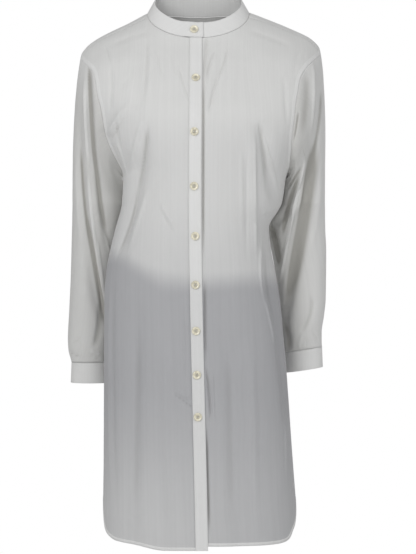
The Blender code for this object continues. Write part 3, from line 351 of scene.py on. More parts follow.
# A crease is small and sharp: a curve through 3 places, on the side of the piece that it is listed
# under, with a half width on each side of it as it runs from its first place to its last.
CREASE_ROWS = {  # in millimetres
    "front_right": [
        # from the bust down to the hip, and the ridge on its outer side
        (-93, -203, -99, -274, -117, -356, 4.5, 3.6, 3.6),
        (-110, -317, -126, -394, -157, -465, 3.2, 3.8, 3.9),
        (-103, -203, -117, -254, -128, -303, 3.5, 3.5, -2.9),
        (-94, -324, -110, -381, -135, -453, 4, 4, -2.6),
        # from the armpit
        (-121, -169, -151, -205, -171, -238, 2.6, 2.6, -3.4),
        (-130, -194, -149, -219, -164, -247, 3.2, 4.5, 2),
        (-151, -201, -147, -233, -140, -264, 2, 1.8, 2.1),
        (-155, -237, -142, -265, -130, -306, 2.2, 1.6, -2.3),
        (-164, -244, -153, -264, -140, -296, 1.8, 2.2, 2.3),
        # from the shoulder
        (-89, -37, -128, -49, -178, -67, 3, 4, 1.7),
        (-174, -62, -168, -80, -162, -103, 1.5, 2, 1.7),
        (-164, -96, -159, -144, -164, -206, 4, 4, 1.5),
        (-196, -76, -198, -87, -203, -99, 1, 1, 0.9),
        (-189, -74, -192, -90, -192, -110, 1.2, 1.2, 1.1),
        (-183, -69, -186, -90, -187, -126, 1.5, 1.5, 0.9),
        (-116, -96, -130, -131, -155, -153, 3, 4, 1.1),
        # on the chest
        (-99, -49, -96, -108, -105, -197, 3.5, 2.5, 1.7),
        (-89, -64, -89, -117, -94, -180, 3, 3, -0.9),
        (-76, -72, -73, -105, -62, -131, 2, 3, 1.3),
        (-42, -96, -28, -142, -17, -178, 2.5, 1.5, 1.9),
        (-53, -85, -48, -114, -35, -142, 2, 2, -0.8),
        # a sharp pair where the cloth has been pressed
        (-74, -349, -58, -378, -41, -404, 1.6, 1.6, -2.1),
        (-69, -371, -56, -392, -44, -408, 1.4, 1.4, 1.7),
        # down the skirt
        (-163, -460, -166, -670, -162, -902, 2, 3, -1.7),
        (-155, -460, -157, -670, -151, -920, 3, 3.5, 1.5),
        (-50, -692, -28, -708, -3, -726, 1.7, 2, 2.5),
        (-42, -688, -23, -701, -3, -712, 1.6, 1.6, -2.3),
        (-110, -528, -112, -742, -119, -956, 8, 8, 2.1),
        (-64, -581, -60, -760, -57, -965, 7, 7, -1.7),
        (-28, -528, -24, -617, -24, -706, 3, 3, 1.1),
    ],
    "front_left": [
        # from the neck towards the band
        (33, -72, 18, -99, 11, -149, 2.5, 2.5, 2.3),
        (52, -60, 42, -103, 26, -138, 2.5, 2, 2.3),
        (34, -121, 24, -156, 15, -203, 2, 2.5, 2.3),
        (43, -110, 33, -138, 24, -167, 2, 2, -1.1),
        # from the bust, sharp on its inner side
        (105, -206, 112, -256, 122, -340, 2.2, 7, 3.1),
        (111, -221, 127, -281, 145, -340, 2.5, 3, -2.1),
        (99, -221, 100, -331, 102, -474, 2.5, 2, -2),
        (74, -260, 75, -314, 76, -438, 4, 3, -1.1),
        (83, -260, 84, -349, 83, -474, 3, 3, 0.9),
        (111, -374, 122, -369, 133, -372, 2, 3, -1.9),
        # the edge where the front turns back over the hip
        (115, -406, 109, -474, 118, -537, 1.8, 2.5, -2),
        (115, -524, 126, -563, 136, -617, 1.8, 2.2, -2.3),
        (122, -421, 120, -492, 131, -549, 2.5, 4, 2.1),
        # beside the band
        (13, -39, 10, -81, 7, -142, 3, 5.5, 2.5),
        (7, -67, 6, -278, 6, -510, 1.8, 2.4, 5.2),
        (9, -470, 9, -563, 10, -656, 2, 2.8, 4),
        (11, -735, 14, -849, 17, -963, 1.6, 2.2, 6),
        # down the skirt
        (9, -638, 16, -692, 19, -756, 1.6, 2.2, 3.4),
        (22, -646, 24, -697, 26, -749, 2, 2, -1.7),
        (149, -608, 154, -706, 158, -885, 2, 2.5, -1.5),
        (50, -581, 54, -760, 58, -956, 8, 8, 2.1),
        (93, -581, 97, -760, 104, -956, 7, 7, -1.7),
        # from the shoulder
        (83, -35, 126, -48, 174, -67, 4, 3, 1.7),
        (183, -67, 175, -96, 172, -135, 2, 1.6, 1.3),
        (193, -74, 186, -92, 179, -110, 1.2, 1.2, 1.1),
        (152, -117, 154, -171, 158, -215, 4, 4, 1.3),
    ],
    "sleeve_right": [
        # the outer trough, which deepens towards the wrist
        (-220, -211, -215, -335, -200, -446, 3, 3.5, 4.2),
        (-209, -366, -190, -488, -172, -588, 6, 3, 7),
        # the inner trough, from the armhole
        (-205, -81, -199, -168, -193, -288, 3.6, 5, 5.1),
        (-210, -88, -204, -100, -198, -109, 1.6, 1.4, -1.8),
        (-198, -214, -187, -326, -172, -427, 4, 5, 4.5),
        # ridges beside them
        (-210, -107, -209, -196, -204, -307, 3.2, 2.6, -3.5),
        (-207, -279, -198, -390, -182, -520, 3.5, 3, -2.9),
        (-180, -396, -172, -422, -167, -448, 1.5, 1.5, -1.3),
        (-191, -409, -185, -459, -178, -514, 2, 2, -1.6),
        (-230, -251, -228, -344, -222, -437, 3, 3, -1.1),
        # above the cuff
        (-189, -529, -189, -581, -202, -626, 4.5, 7, 2.7),
        (-209, -624, -194, -628, -178, -637, 1.5, 1.5, -1.8),
        (-215, -629, -200, -635, -180, -642, 1.5, 1.5, 1.4),
        (-246, -626, -235, -632, -222, -635, 2, 2, 2.2),
        (-241, -611, -230, -605, -215, -592, 3, 3, 1.4),
        (-222, -600, -222, -616, -219, -637, 2, 2, 1.1),
    ],
    "sleeve_left": [
        # the hollow beside the armhole, and its ridge
        (194, -96, 193, -168, 183, -251, 9, 7, 2.4),
        (206, -85, 208, -150, 200, -244, 3, 2.5, -2.7),
        (178, -183, 175, -211, 168, -251, 1.8, 1.8, 3.2),
        # the outer trough, which deepens towards the wrist
        (222, -129, 218, -200, 202, -285, 3, 4.5, 3.5),
        (209, -226, 190, -366, 152, -585, 7, 16, 6.7),
        # the sharp ridge across the elbow, and the trough inside it
        (200, -244, 170, -381, 144, -526, 2.6, 2.4, -5.4),
        (189, -285, 165, -353, 150, -427, 5, 4, 4.5),
        (188, -255, 194, -264, 193, -277, 1.5, 1.5, 1.8),
        (191, -281, 174, -303, 159, -329, 2, 3, 3),
        (224, -251, 220, -353, 202, -459, 4, 4, -1.3),
        (130, -381, 139, -424, 150, -477, 2.5, 7, 6.1),
        # above the cuff
        (202, -511, 206, -553, 178, -607, 4, 6, 2.1),
        (154, -562, 165, -598, 165, -629, 5, 5, 3),
        (193, -585, 187, -605, 185, -626, 4, 4, -1.4),
        (207, -588, 217, -598, 220, -609, 2, 2, 1.4),
        (196, -600, 198, -611, 196, -622, 1.6, 1.6, 1),
    ],
    "back": [
        # from the shoulder blades
        (-118, -150, -112, -260, -98, -400, 5, 3, 1.6),
        (-52, -125, -50, -300, -60, -520, 6, 5, 1.2),
        (20, -118, 12, -260, 6, -420, 4, 6, -0.9),
        (112, -145, 116, -255, 124, -395, 3, 5, 1.6),
        (68, -130, 60, -330, 66, -560, 6, 5, -1.2),
        # from the armpits
        (-172, -235, -150, -255, -118, -300, 2, 2, -1.2),
        (170, -240, 152, -268, 128, -330, 2, 2, -1.2),
        (160, -280, 138, -320, 108, -350, 2.5, 2.5, 1.1),
        # at the waist
        (-120, -405, -80, -424, -34, -418, 2.5, 3, 0.9),
        (24, -436, 66, -450, 108, -432, 3, 2.5, 0.9),
        (-60, -470, -30, -480, 4, -474, 2, 2, -0.6),
        # down the skirt
        (-140, -480, -150, -700, -156, -960, 6, 4, -1.4),
        (-78, -560, -84, -760, -94, -980, 7, 6, 1.4),
        (6, -520, 4, -740, 0, -980, 6, 8, 1.3),
        (84, -540, 90, -760, 98, -980, 6, 6, -1.3),
        (136, -470, 150, -700, 158, -960, 4, 6, 1.5),
    ],
    "sleeve_right_behind": [
        # from the armhole to the elbow
        (-214, -130, -216, -230, -206, -340, 4, 5, 2.6),
        (-196, -180, -190, -300, -178, -400, 3, 4, -1.6),
        (-228, -260, -222, -370, -200, -470, 5, 4, 2.6),
        # below the elbow and above the cuff
        (-178, -405, -200, -425, -226, -418, 2.5, 3, 1.4),
        (-230, -470, -222, -560, -204, -630, 4, 3, -1.4),
        (-196, -560, -192, -600, -194, -640, 3, 3, 1.2),
    ],
    "sleeve_left_behind": [
        # from the armhole to the elbow
        (206, -125, 212, -220, 204, -330, 5, 4, 2.6),
        (188, -190, 184, -290, 168, -385, 4, 3, -1.6),
        (222, -250, 216, -350, 190, -450, 4, 5, 2.6),
        # below the elbow and above the cuff
        (168, -395, 190, -412, 218, -402, 2.5, 3, 1.4),
        (220, -450, 210, -540, 190, -610, 3, 4, -1.4),
        (182, -540, 180, -580, 184, -618, 3, 3, 1.2),
    ],
}
CREASES = {
    name: named_rows("x1 z1 x2 z2 x3 z3 left right depth", *[[v / 1000 for v in row] for row in rows])
    for name, rows in CREASE_ROWS.items()
}
CREASE_REACH = 2.6  # past this many half widths a crease does nothing
TUBE_CALM = 0.35  # a sleeve's creases die away where its cloth faces less than this to front or back
CREASE_FADE = 0.3  # share of a crease's length over which each end dies away
CREASE_STEPS = 10
SEAM_CALM = 0.007  # creases die away over this distance from a seam
HOLLOW_DEPTH = 0.004  # where cloth is pushed in this far its painted shade is darkest
SWELL_DEPTH, SWELL_SIZE = 0.00085, 0.055  # the uneven swell of worn cloth
RIPPLE_DEPTH, RIPPLE_SIZE = 0.00022, 0.016
FOLD_FADE = 0.22  # share of a fold's length over which each end dies away
SIDE_CALM = 0.35  # folds die away towards the side seams, where the depth share is below this

# ---- dark clothes behind the thin cloth of the skirt ----
WAIST_Z, WAIST_RISE = -0.492, 0.042  # their top, and how much higher it is on the right hip
# share of them that shows, and the heights above their top between which it dies away; the last row greys the
# bodice a little, up to 0.24 above their top and fading by 0.31
WAIST_FADES = [(0.65, -0.022, 0.022), (0.2, 0.0, 0.16), (0.15, 0.24, 0.31)]

# ---- camera ----
CAMERA_PLACE = (0.0148, -3.5, -0.4866)
CAMERA_LENS, CAMERA_SENSOR = 122.9, 36.0  # millimetres

# ---- how finely the pieces are divided ----
FINER = 6  # divisions for each one of the solids
ARMHOLE_PLACES = {FRONT: 9, BACK: 8}  # places of each armhole that the solids share
NECK_COLUMNS = 7 * FINER
SHOULDER_COLUMNS = 7 * FINER
ARMHOLE_ROWS_FRONT = ARMHOLE_PLACES[FRONT] * FINER
ARMHOLE_ROWS_BACK = ARMHOLE_PLACES[BACK] * FINER
SIDE_ROWS = 25 * FINER
YOKE_ROWS = 5 * FINER
YOKE_NECK_COLUMNS = 10 * FINER
CAP_ROWS = 9 * FINER
SLEEVE_ROWS = 12 * FINER
FRONT_ROWS = ARMHOLE_ROWS_FRONT + SIDE_ROWS
YOKE_COLUMNS = 2 * SHOULDER_COLUMNS + YOKE_NECK_COLUMNS
COLLAR_STEP = 5.0  # degrees; a wider step is halved
COLLAR_ROWS = CUFF_ROWS = BAND_COLUMNS = 8
CUFF_FINER = 4
CUFF_COLUMNS = 26 * CUFF_FINER
HEM_ROWS = 5


# ---- curves ----
def clamped(t):
    return min(1.0, max(0.0, t))


def smooth(t):
    """0 below 0, 1 above 1, and an even rise between."""
    t = clamped(t)
    return t * t * (3.0 - 2.0 * t)


def curve_through(places, values):
    """A function: the smooth curve through these values, without overshoot, and level past its ends."""
    steps = [b - a for a, b in zip(places, places[1:])]
    slopes = [(b - a) / h for a, b, h in zip(values, values[1:], steps)]
    tangents = [slopes[0]]
    for before, after, h0, h1 in zip(slopes, slopes[1:], steps, steps[1:]):
        if before * after <= 0.0:
            tangents.append(0.0)
        else:
            w0, w1 = 2.0 * h1 + h0, h1 + 2.0 * h0
            tangents.append((w0 + w1) / (w0 / before + w1 / after))
    tangents.append(slopes[-1])

    def at(place):
        place = min(places[-1], max(places[0], place))
        i = max(k for k in range(len(steps)) if places[k] <= place)
        h = steps[i]
        t = (place - places[i]) / h
        return (
            (2 * t**3 - 3 * t**2 + 1) * values[i]
            + (t**3 - 2 * t**2 + t) * h * tangents[i]
            + (3 * t**2 - 2 * t**3) * values[i + 1]
            + (t**3 - t**2) * h * tangents[i + 1]
        )

    return at


def table_curve(rows, place, value):
    """The smooth curve of one named column of a table against another."""
    rows = sorted(rows, key=lambda row: getattr(row, place))
    return curve_through([getattr(r, place) for r in rows], [getattr(r, value) for r in rows])


def gone_along(line):
    """The distance gone at each point of a line."""
    gone = [0.0]
    for a, b in zip(line, line[1:]):
        gone.append(gone[-1] + (b - a).length)
    return gone


def path_through(points):
    """A function of 0 to 1: the smooth path through these points, evenly along its length."""
    lengths = gone_along(points)
    shares = [length / lengths[-1] for length in lengths]
    axes = [curve_through(shares, [p[k] for p in points]) for k in range(len(points[0]))]
    return lambda t: Vector([axis(t) for axis in axes])


def bent_line(top, mid, low, z):
    """The value at height z of the parabola through three (z, value) places, and its slope."""
    (z0, a0), (z1, a1), (z2, a2) = top, mid, low
    first = (a1 - a0) / (z1 - z0)
    second = ((a2 - a1) / (z2 - z1) - first) / (z2 - z0)
    value = a0 + first * (z - z0) + second * (z - z0) * (z - z1)
    return value, first + second * (2 * z - z0 - z1)


def faded(along, fade):
    """1 along a fold or crease, and down to 0 over this share of it at each end."""
    return smooth(along / fade) * smooth((1.0 - along) / fade)


def push_in(fold, away, z):
    """How far a fold pushes the skin in, this many half widths from its middle."""
    along = (fold.top_z - z) / (fold.top_z - fold.low_z)
    return fold.depth * math.exp(-away * away) * faded(along, FOLD_FADE)


# ---- the skin of the body ----
HALF_WIDTH = {side: table_curve(BODY, "z", name) for side, name in SIDE_NAME.items()}
REACH = {FRONT: table_curve(BODY, "z", "front"), BACK: table_curve(BODY, "z", "back")}
WIDEST_Y = table_curve(BODY, "z", "middle")
RIDGE_Z = {side: table_curve(SHOULDER_RIDGE, "out", name) for side, name in SIDE_NAME.items()}
BAND_X = table_curve(BAND_MIDDLE, "z", "x")
HEM_RISE_AT = {name: table_curve(HEM_RISE, "angle", name) for name in ("right", "left", "back")}


def ridge_z(x):
    return RIDGE_Z[LEFT if x >= NECK_MIDDLE else RIGHT](abs(x - NECK_MIDDLE))


def half_width(x, z):
    return HALF_WIDTH[LEFT if x >= 0 else RIGHT](z)


def depth_share(angle, face):
    """Share of the section's half width and of its reach at an angle from the middle of a face."""
    n = SQUARENESS[face]
    s, c = math.sin(math.radians(angle)), math.cos(math.radians(angle))
    size = (abs(s) ** n + abs(c) ** n) ** (-1.0 / n)
    return s * size, c * size


def angle_of(x, z, face):
    """Inverse of depth_share: the angle at which the section at height z is at x."""
    n = SQUARENESS[face]
    share = min(1.0, abs(x) / half_width(x, z))
    return math.copysign(math.degrees(math.atan2(share, (1.0 - share**n) ** (1.0 / n))), x)


def bare_skin(angle, z, face):
    """The body's skin without folds, and the depth share there."""
    across, depth = depth_share(angle, face)
    x = across * half_width(across, z)
    widest = WIDEST_Y(z)
    y = widest + face * (REACH[face](z) - face * widest) * depth
    drop = min(1.0, max(0.0, ridge_z(x) - z) / SHOULDER_ROUND)
    y = RIDGE_Y + (y - RIDGE_Y) * math.sqrt(1.0 - (1.0 - drop) ** 2)
    return Vector((x, y, z)), depth


def fold_depth(x, z, face):
    """How far the folds push the skin in at a place."""
    total = 0.0
    for f in BODY_FOLDS:
        if f.face != face or not f.low_z < z < f.top_z:
            continue
        middle, slope = bent_line((f.top_z, f.top_x), (f.mid_z, f.mid_x), (f.low_z, f.low_x), z)
        away = (x - middle) / math.hypot(1.0, slope) / f.half_width
        total += push_in(f, away, z)
    return total


class Creases:
    """The creases of a piece: those listed under one name, and behind a tube those under another."""

    def __init__(self, ahead, behind=None):
        self.tube = behind is not None
        self.lines = {FRONT: self.drawn(ahead), BACK: self.drawn(behind)}

    @staticmethod
    def drawn(name):
        """Each crease with its line of points and the box that it acts in."""
        lines = []
        for c in CREASES.get(name, ()):
            first, middle, last = Vector((c.x1, c.z1)), Vector((c.x2, c.z2)), Vector((c.x3, c.z3))
            pull = middle * 2 - (first + last) / 2
            line = []
            for k in range(CREASE_STEPS + 1):
                t = k / CREASE_STEPS
                line.append(first * (1 - t) ** 2 + pull * 2 * t * (1 - t) + last * t * t)
            reach = CREASE_REACH * max(c.left, c.right)
            xs, zs = [p.x for p in line], [p.y for p in line]
            lines.append((c, line, (min(xs) - reach, max(xs) + reach, min(zs) - reach, max(zs) + reach)))
        return lines

    def push(self, point, normal):
        """How far the creases push the cloth in at a point."""
        x, z, total = point.x, point.z, 0.0
        face = BACK if self.tube and normal.y > 0 else FRONT
        for c, line, (x_low, x_high, z_low, z_high) in self.lines[face]:
            if not (x_low < x < x_high and z_low < z < z_high):
                continue
            nearest = (1.0, 0.0, 0.0)
            for k, (a, b) in enumerate(zip(line, line[1:])):
                run_x, run_z = b.x - a.x, b.y - a.y
                share = ((x - a.x) * run_x + (z - a.y) * run_z) / (run_x * run_x + run_z * run_z)
                share = clamped(share)
                off_x, off_z = x - a.x - share * run_x, z - a.y - share * run_z
                gap = math.hypot(off_x, off_z)
                if gap < nearest[0]:
                    nearest = (gap, run_x * off_z - run_z * off_x, (k + share) / CREASE_STEPS)
            gap, turn, along = nearest
            away = gap / (c.left if turn < 0 else c.right)
            total += c.depth * math.exp(-away * away) * faded(along, CREASE_FADE)
        return total * (smooth(abs(normal.y) / TUBE_CALM) if self.tube else 1.0)


def swell(point):
    """The slow unevenness of worn cloth, and a finer ripple."""
    slow = noise.noise(Vector((point.x, point.y, point.z * 0.55)) / SWELL_SIZE)
    quick = noise.noise(Vector((point.x, point.y, point.z * 0.7)) / RIPPLE_SIZE)
    return slow * SWELL_DEPTH + quick * RIPPLE_DEPTH


def creased(grid, creases, open_end=False, closed=False):
    """The grid with creases and swell. They die away at its seams; an open lower end is no seam."""
    across = [gone_along([p for p, _ in row]) for row in grid]
    down = [gone_along([p for p, _ in column]) for column in zip(*grid)]
    shaped = []
    for j, row in enumerate(grid):
        new_row = []
        for i, (point, normal) in enumerate(row):
            from_seam = down[i][j] if open_end else min(down[i][j], down[i][-1] - down[i][j])
            if not closed:
                from_seam = min(from_seam, across[j][i], across[j][-1] - across[j][i])
            push = (swell(point) + creases.push(point, normal)) * smooth(from_seam / SEAM_CALM)
            new_row.append((point - normal * push, normal))
        shaped.append(new_row)
    return shaped


def facing(point_at, u, v, outside, step_u, step_v):
    """The unit normal of a surface by differences, turned to the same side as `outside`."""
    du = point_at(u + step_u, v) - point_at(u - step_u, v)
    dv = point_at(u, v + step_v) - point_at(u, v - step_v)
    normal = du.cross(dv).normalized()
    return normal if normal.dot(outside) > 0 else -normal


def skin(angle, z, face):
    """A point of the body's skin and the direction out of the cloth there."""
    point, depth = bare_skin(angle, z, face)
    outside = Vector((point.x, face * 0.02 + point.y * 0.8, 0.02))
    normal = facing(lambda a, h: bare_skin(a, h, face)[0], angle, z, outside, 0.5, 0.001)
    push = fold_depth(point.x, z, face) * smooth(depth / SIDE_CALM)
    return point - normal * push, normal


def skin_at(x, z, face):
    return skin(angle_of(x, z, face), z, face)


def over_shoulder(x, turn):
    """The skin where it rounds over the shoulder: turn is 0 on the ridge, -1 where it becomes the
    chest and 1 where it becomes the back. Past 1 it goes straight on down the back."""

    def bare(x, turn):
        face = FRONT if turn < 0 else BACK
        z = ridge_z(x) - SHOULDER_ROUND * (1.0 - math.cos(min(1.0, abs(turn)) * math.pi / 2))
        z -= max(0.0, abs(turn) - 1.0) * SHOULDER_ROUND * math.pi / 2
        return bare_skin(angle_of(x, z, face), z, face)[0]

    outside = Vector((0.2 * x, turn * 0.3, 1.0 - 0.7 * abs(turn)))
    return bare(x, turn), facing(bare, x, turn, outside, 0.002, 0.01)


def turn_at(x, z):
    """How far round the shoulder the skin has turned at x when it has come down to height z."""
    drop = (ridge_z(x) - z) / SHOULDER_ROUND
    if drop >= 1.0:
        return 1.0 + (drop - 1.0) / (math.pi / 2)
    return math.acos(1.0 - max(0.0, drop)) / (math.pi / 2)


# ---- the outlines of the pieces ----
def neck_x(angle):
    return NECK_MIDDLE + NECK_HALF_WIDTH * math.sin(math.radians(angle))


def neck_front_z(angle):
    return -NECK_FRONT_DROP * math.cos(math.radians(angle))


def neck_turn(angle):
    """How far round the shoulder the neck seam lies, angle degrees from centre front."""
    from_front = abs((angle + 180.0) % 360.0 - 180.0)
    x = neck_x(angle)
    if from_front <= NECK_SEAM_ANGLE:
        return -turn_at(x, neck_front_z(angle))
    if from_front < 180.0 - NECK_SEAM_ANGLE:
        side = math.copysign(1.0, x)
        before, after = neck_turn(side * NECK_SEAM_ANGLE), neck_turn(side * (180.0 - NECK_SEAM_ANGLE))
        return before + (after - before) * (from_front - NECK_SEAM_ANGLE) / (180.0 - 2 * NECK_SEAM_ANGLE)
    wanted = -NECK_BACK_REACH * math.cos(math.radians(angle))
    low, high = 0.0, 1.0
    for _ in range(30):
        middle = (low + high) / 2
        if over_shoulder(x, middle)[0].y - RIDGE_Y < wanted:
            low = middle
        else:
            high = middle
    return low


def neck_point(angle):
    """A point of the neck seam and the direction out of the cloth there."""
    if abs((angle + 180.0) % 360.0 - 180.0) <= NECK_SEAM_ANGLE:
        return skin_at(neck_x(angle), neck_front_z(angle), FRONT)
    return over_shoulder(neck_x(angle), neck_turn(angle))


def shoulder_seam_z(x):
    return ridge_z(x) - SHOULDER_SEAM_DROP


def shoulder_seam(side, t):
    """The x and z of the seam between a front and the yoke: t is 0 at the neck, 1 at the armhole."""
    neck = neck_x(side * NECK_SEAM_ANGLE)
    x = neck * (1 - t) + ARMHOLE_END_X[side] * t
    rise = neck_front_z(NECK_SEAM_ANGLE) - shoulder_seam_z(neck)
    return x, shoulder_seam_z(x) + rise * (1 - t) ** 3


def armhole_path(side, face):
    """The armhole on one face, from its top to the underarm, as a path of (angle, z) places."""
    table = FRONT_ARMHOLE if face == FRONT else BACK_ARMHOLE
    places = [(getattr(row, SIDE_NAME[side]), row.z) for row in table]
    if face == FRONT:
        places.insert(0, (abs(ARMHOLE_END_X[side]), shoulder_seam_z(ARMHOLE_END_X[side])))
    places.append((HALF_WIDTH[side](UNDERARM_Z), UNDERARM_Z))
    on_skin = [skin_at(side * x, z, face)[0] for x, z in places]
    path = path_through(on_skin)
    shares = [k / ARMHOLE_PLACES[face] for k in range(ARMHOLE_PLACES[face] + 1)]
    shared = [path(t) for t in shares]
    angle = curve_through(shares, [angle_of(p.x, p.z, face) for p in shared])
    height = curve_through(shares, [p.z for p in shared])
    return lambda t: Vector((angle(t), height(t)))


def hem_z(angle, piece):
    return HEM_Z + HEM_RISE_AT[piece](abs(angle))


def patch(top, bottom, inner, outer):
    """A function (u, v) that fills the space between four edges, each a function of 0 to 1. The bends
    of the side edges die away quickly, so that the rows below the neck don't run into it."""

    def bend(edge, end, v):
        return edge(v) - top(end) * (1 - v) - bottom(end) * v

    def at(u, v):
        straight = top(u) * (1 - v) + bottom(u) * v
        return straight + bend(inner, 0, v) * (1 - u) ** 3 + bend(outer, 1, v) * u**3

    return at


def side_edge(armhole, armhole_share, end_z):
    """An outer edge: down the armhole, then down the side seam to the hem."""
    side_angle = 90.0 * math.copysign(1.0, armhole(1).x)

    def at(v):
        if v <= armhole_share:
            return armhole(v / armhole_share)
        t = (v - armhole_share) / (1.0 - armhole_share)
        return Vector((side_angle, UNDERARM_Z + (end_z - UNDERARM_Z) * t))

    return at


# ---- grids: rows of (point, normal) ----
def band_edge_x(side, z):
    """The cut edge of a front, under the upper band."""
    return BAND_X(z) + side * (BAND_WIDTH / 2 - BAND_LAP)


def front_neck_angle(side, t):
    """Angle round the neck seam of a front: t is 0 at its cut edge, 1 at the yoke."""
    edge = band_edge_x(side, neck_front_z(0)) - NECK_MIDDLE
    end = side * math.sin(math.radians(NECK_SEAM_ANGLE))
    start = edge / NECK_HALF_WIDTH
    return math.degrees(math.asin(start + (end - start) * t))


def back_neck_angle(t):
    """Angle round the neck seam of the yoke, on the left: t is 0 at the front, 1 at centre back."""
    return NECK_SEAM_ANGLE * (1 - t) + 180.0 * t


def band_z(v, piece):
    """Height of the rows at centre front, from the neck seam to the hem."""
    top = neck_front_z(0)
    return top + (hem_z(0, piece) - top) * v


def front_grid(side):
    columns, rows = NECK_COLUMNS + SHOULDER_COLUMNS, FRONT_ROWS
    neck_share = NECK_COLUMNS / columns
    piece = SIDE_NAME[side]

    def top(u):
        if u <= neck_share:
            neck_angle = front_neck_angle(side, u / neck_share)
            x, z = neck_x(neck_angle), neck_front_z(neck_angle)
        else:
            x, z = shoulder_seam(side, (u - neck_share) / (1.0 - neck_share))
        return Vector((angle_of(x, z, FRONT), z))

    def inner(v):
        z = band_z(v, piece) + (top(0).y - band_z(0, piece)) * max(0.0, 1 - v * rows)
        return Vector((angle_of(band_edge_x(side, z), z, FRONT), z))

    def bottom(u):
        angle = inner(1).x * (1 - u) + side * 90.0 * u
        return Vector((angle, hem_z(angle, piece)))

    outer = side_edge(armhole_path(side, FRONT), ARMHOLE_ROWS_FRONT / rows, hem_z(90, piece))
    place = patch(top, bottom, inner, outer)
    return [[skin(*place(i / columns, j / rows), FRONT) for i in range(columns + 1)] for j in range(rows + 1)]


def yoke_seam_x(u):
    """The yoke's back seam, from the right armhole to the left. Its columns keep clear of the neck."""
    from_end, side = min(u, 1 - u), RIGHT if u < 0.5 else LEFT
    shoulder = SHOULDER_COLUMNS / YOKE_COLUMNS
    if from_end < shoulder:
        t = from_end / shoulder
        return side * (BACK_ARMHOLE[0].left * (1 - t) + YOKE_CORNER_X * t)
    return side * YOKE_CORNER_X * (0.5 - from_end) / (0.5 - shoulder)


def back_grid():
    columns, rows = YOKE_COLUMNS, ARMHOLE_ROWS_BACK + SIDE_ROWS

    def top(u):
        return Vector((angle_of(yoke_seam_x(u), YOKE_Z, BACK), YOKE_Z))

    def bottom(u):
        angle = 90.0 * (2 * u - 1)
        return Vector((angle, hem_z(angle, "back")))

    share = ARMHOLE_ROWS_BACK / rows
    right = side_edge(armhole_path(RIGHT, BACK), share, hem_z(90, "back"))
    left = side_edge(armhole_path(LEFT, BACK), share, hem_z(90, "back"))
    place = patch(top, bottom, right, left)
    return [[skin(*place(i / columns, j / rows), BACK) for i in range(columns + 1)] for j in range(rows + 1)]


def yoke_grid():
    columns = YOKE_COLUMNS
    shoulder = SHOULDER_COLUMNS / columns

    def top(u):
        side = RIGHT if u < 0.5 else LEFT
        from_end = min(u, 1 - u)
        if from_end < shoulder:
            x, z = shoulder_seam(side, 1 - from_end / shoulder)
            return Vector((x, -turn_at(x, z)))
        t = (from_end - shoulder) / (0.5 - shoulder)
        angle = side * back_neck_angle(t)
        return Vector((neck_x(angle), neck_turn(angle)))

    def bottom(u):
        x = yoke_seam_x(u)
        return Vector((x, turn_at(x, YOKE_Z)))

    def end(side):
        u = 0 if side == RIGHT else 1
        high, low = top(u), bottom(u)

        def at(v):
            place = high * (1 - v) + low * v
            place.x += side * YOKE_END_BULGE * math.sin(math.pi * v)
            return place

        return at

    place = patch(top, bottom, end(RIGHT), end(LEFT))
    return [
        [over_shoulder(*place(i / columns, j / YOKE_ROWS)) for i in range(columns + 1)]
        for j in range(YOKE_ROWS + 1)
    ]


def band_grid(upper):
    """The band down the front, moved out where it lies on the others."""
    low, high = -BAND_WIDTH / 2, BAND_WIDTH / 2
    if not upper:
        low, high = low + BAND_LAP + SEAM_GAP, high - BAND_LAP - SEAM_GAP
    lift = LAP_GAP + DOUBLED if upper else 0.0
    rows = []
    for j in range(FRONT_ROWS + 1):
        z = band_z(j / FRONT_ROWS, "right" if upper else "left")
        row = []
        for k in range(BAND_COLUMNS + 1):
            aside = low + (high - low) * k / BAND_COLUMNS
            point, normal = skin_at(BAND_X(z) + aside, z, FRONT)
            row.append((point + normal * lift, normal))
        rows.append(row)
    return rows


def armhole_loop(side, front, back, yoke):
    """The armhole's points in order: down the front, up the back, over the yoke. The seam is shared."""
    edge = -1 if side == LEFT else 0
    loop = [front[j][-1] for j in range(ARMHOLE_ROWS_FRONT)]
    loop += [back[j][edge] for j in range(ARMHOLE_ROWS_BACK, 0, -1)]
    loop += [yoke[j][edge] for j in range(YOKE_ROWS, 0, -1)]
    return loop


def loop_angles(points):
    """Each armhole point's place round the sleeve in degrees: 0 at the ridge, 180 at the underarm."""
    lengths = gone_along(points + points[:1])
    top = max(range(len(points)), key=lambda k: points[k].z)
    low = min(range(len(points)), key=lambda k: points[k].z)
    ridge = lengths[top] - lengths[-1]
    angles = []
    for k in range(len(points)):
        if k <= low:
            angles.append(180.0 * (lengths[k] - ridge) / (lengths[low] - ridge))
        elif k <= top:
            angles.append(180.0 + 180.0 * (lengths[k] - lengths[low]) / (lengths[top] - lengths[low]))
        else:
            angles.append(360.0 + 180.0 * (lengths[k] - lengths[top]) / (lengths[low] - ridge))
    return angles


def sleeve_oval(side, z):
    """Centre and half sizes of a sleeve's section at height z."""
    curves = SLEEVE_CURVES[side]
    outer, inner, front, back = (curves[name](z) for name in ("outer", "inner", "front", "back"))
    return side * (outer + inner) / 2, (front + back) / 2, (outer - inner) / 2, (back - front) / 2


SLEEVE_CURVES = {
    side: {name: table_curve(table, "z", name) for name in ("outer", "inner", "front", "back")}
    for side, table in SLEEVES.items()
}


def sleeve_point(side, angle, z):
    """A point of the hanging part of a sleeve, and the direction out of it."""
    cx, cy, a, b = sleeve_oval(side, z)
    c, s = math.cos(math.radians(angle)), math.sin(math.radians(angle))
    top, low = SLEEVES[side][0].z, SLEEVES[side][-1].z
    lean = CUFF_TILT[side] * c * smooth((top - z) / (top - low))
    point = Vector((cx + side * a * c, cy - b * s, z + lean))
    return point, Vector((side * c / a, -s / b, 0)).normalized()


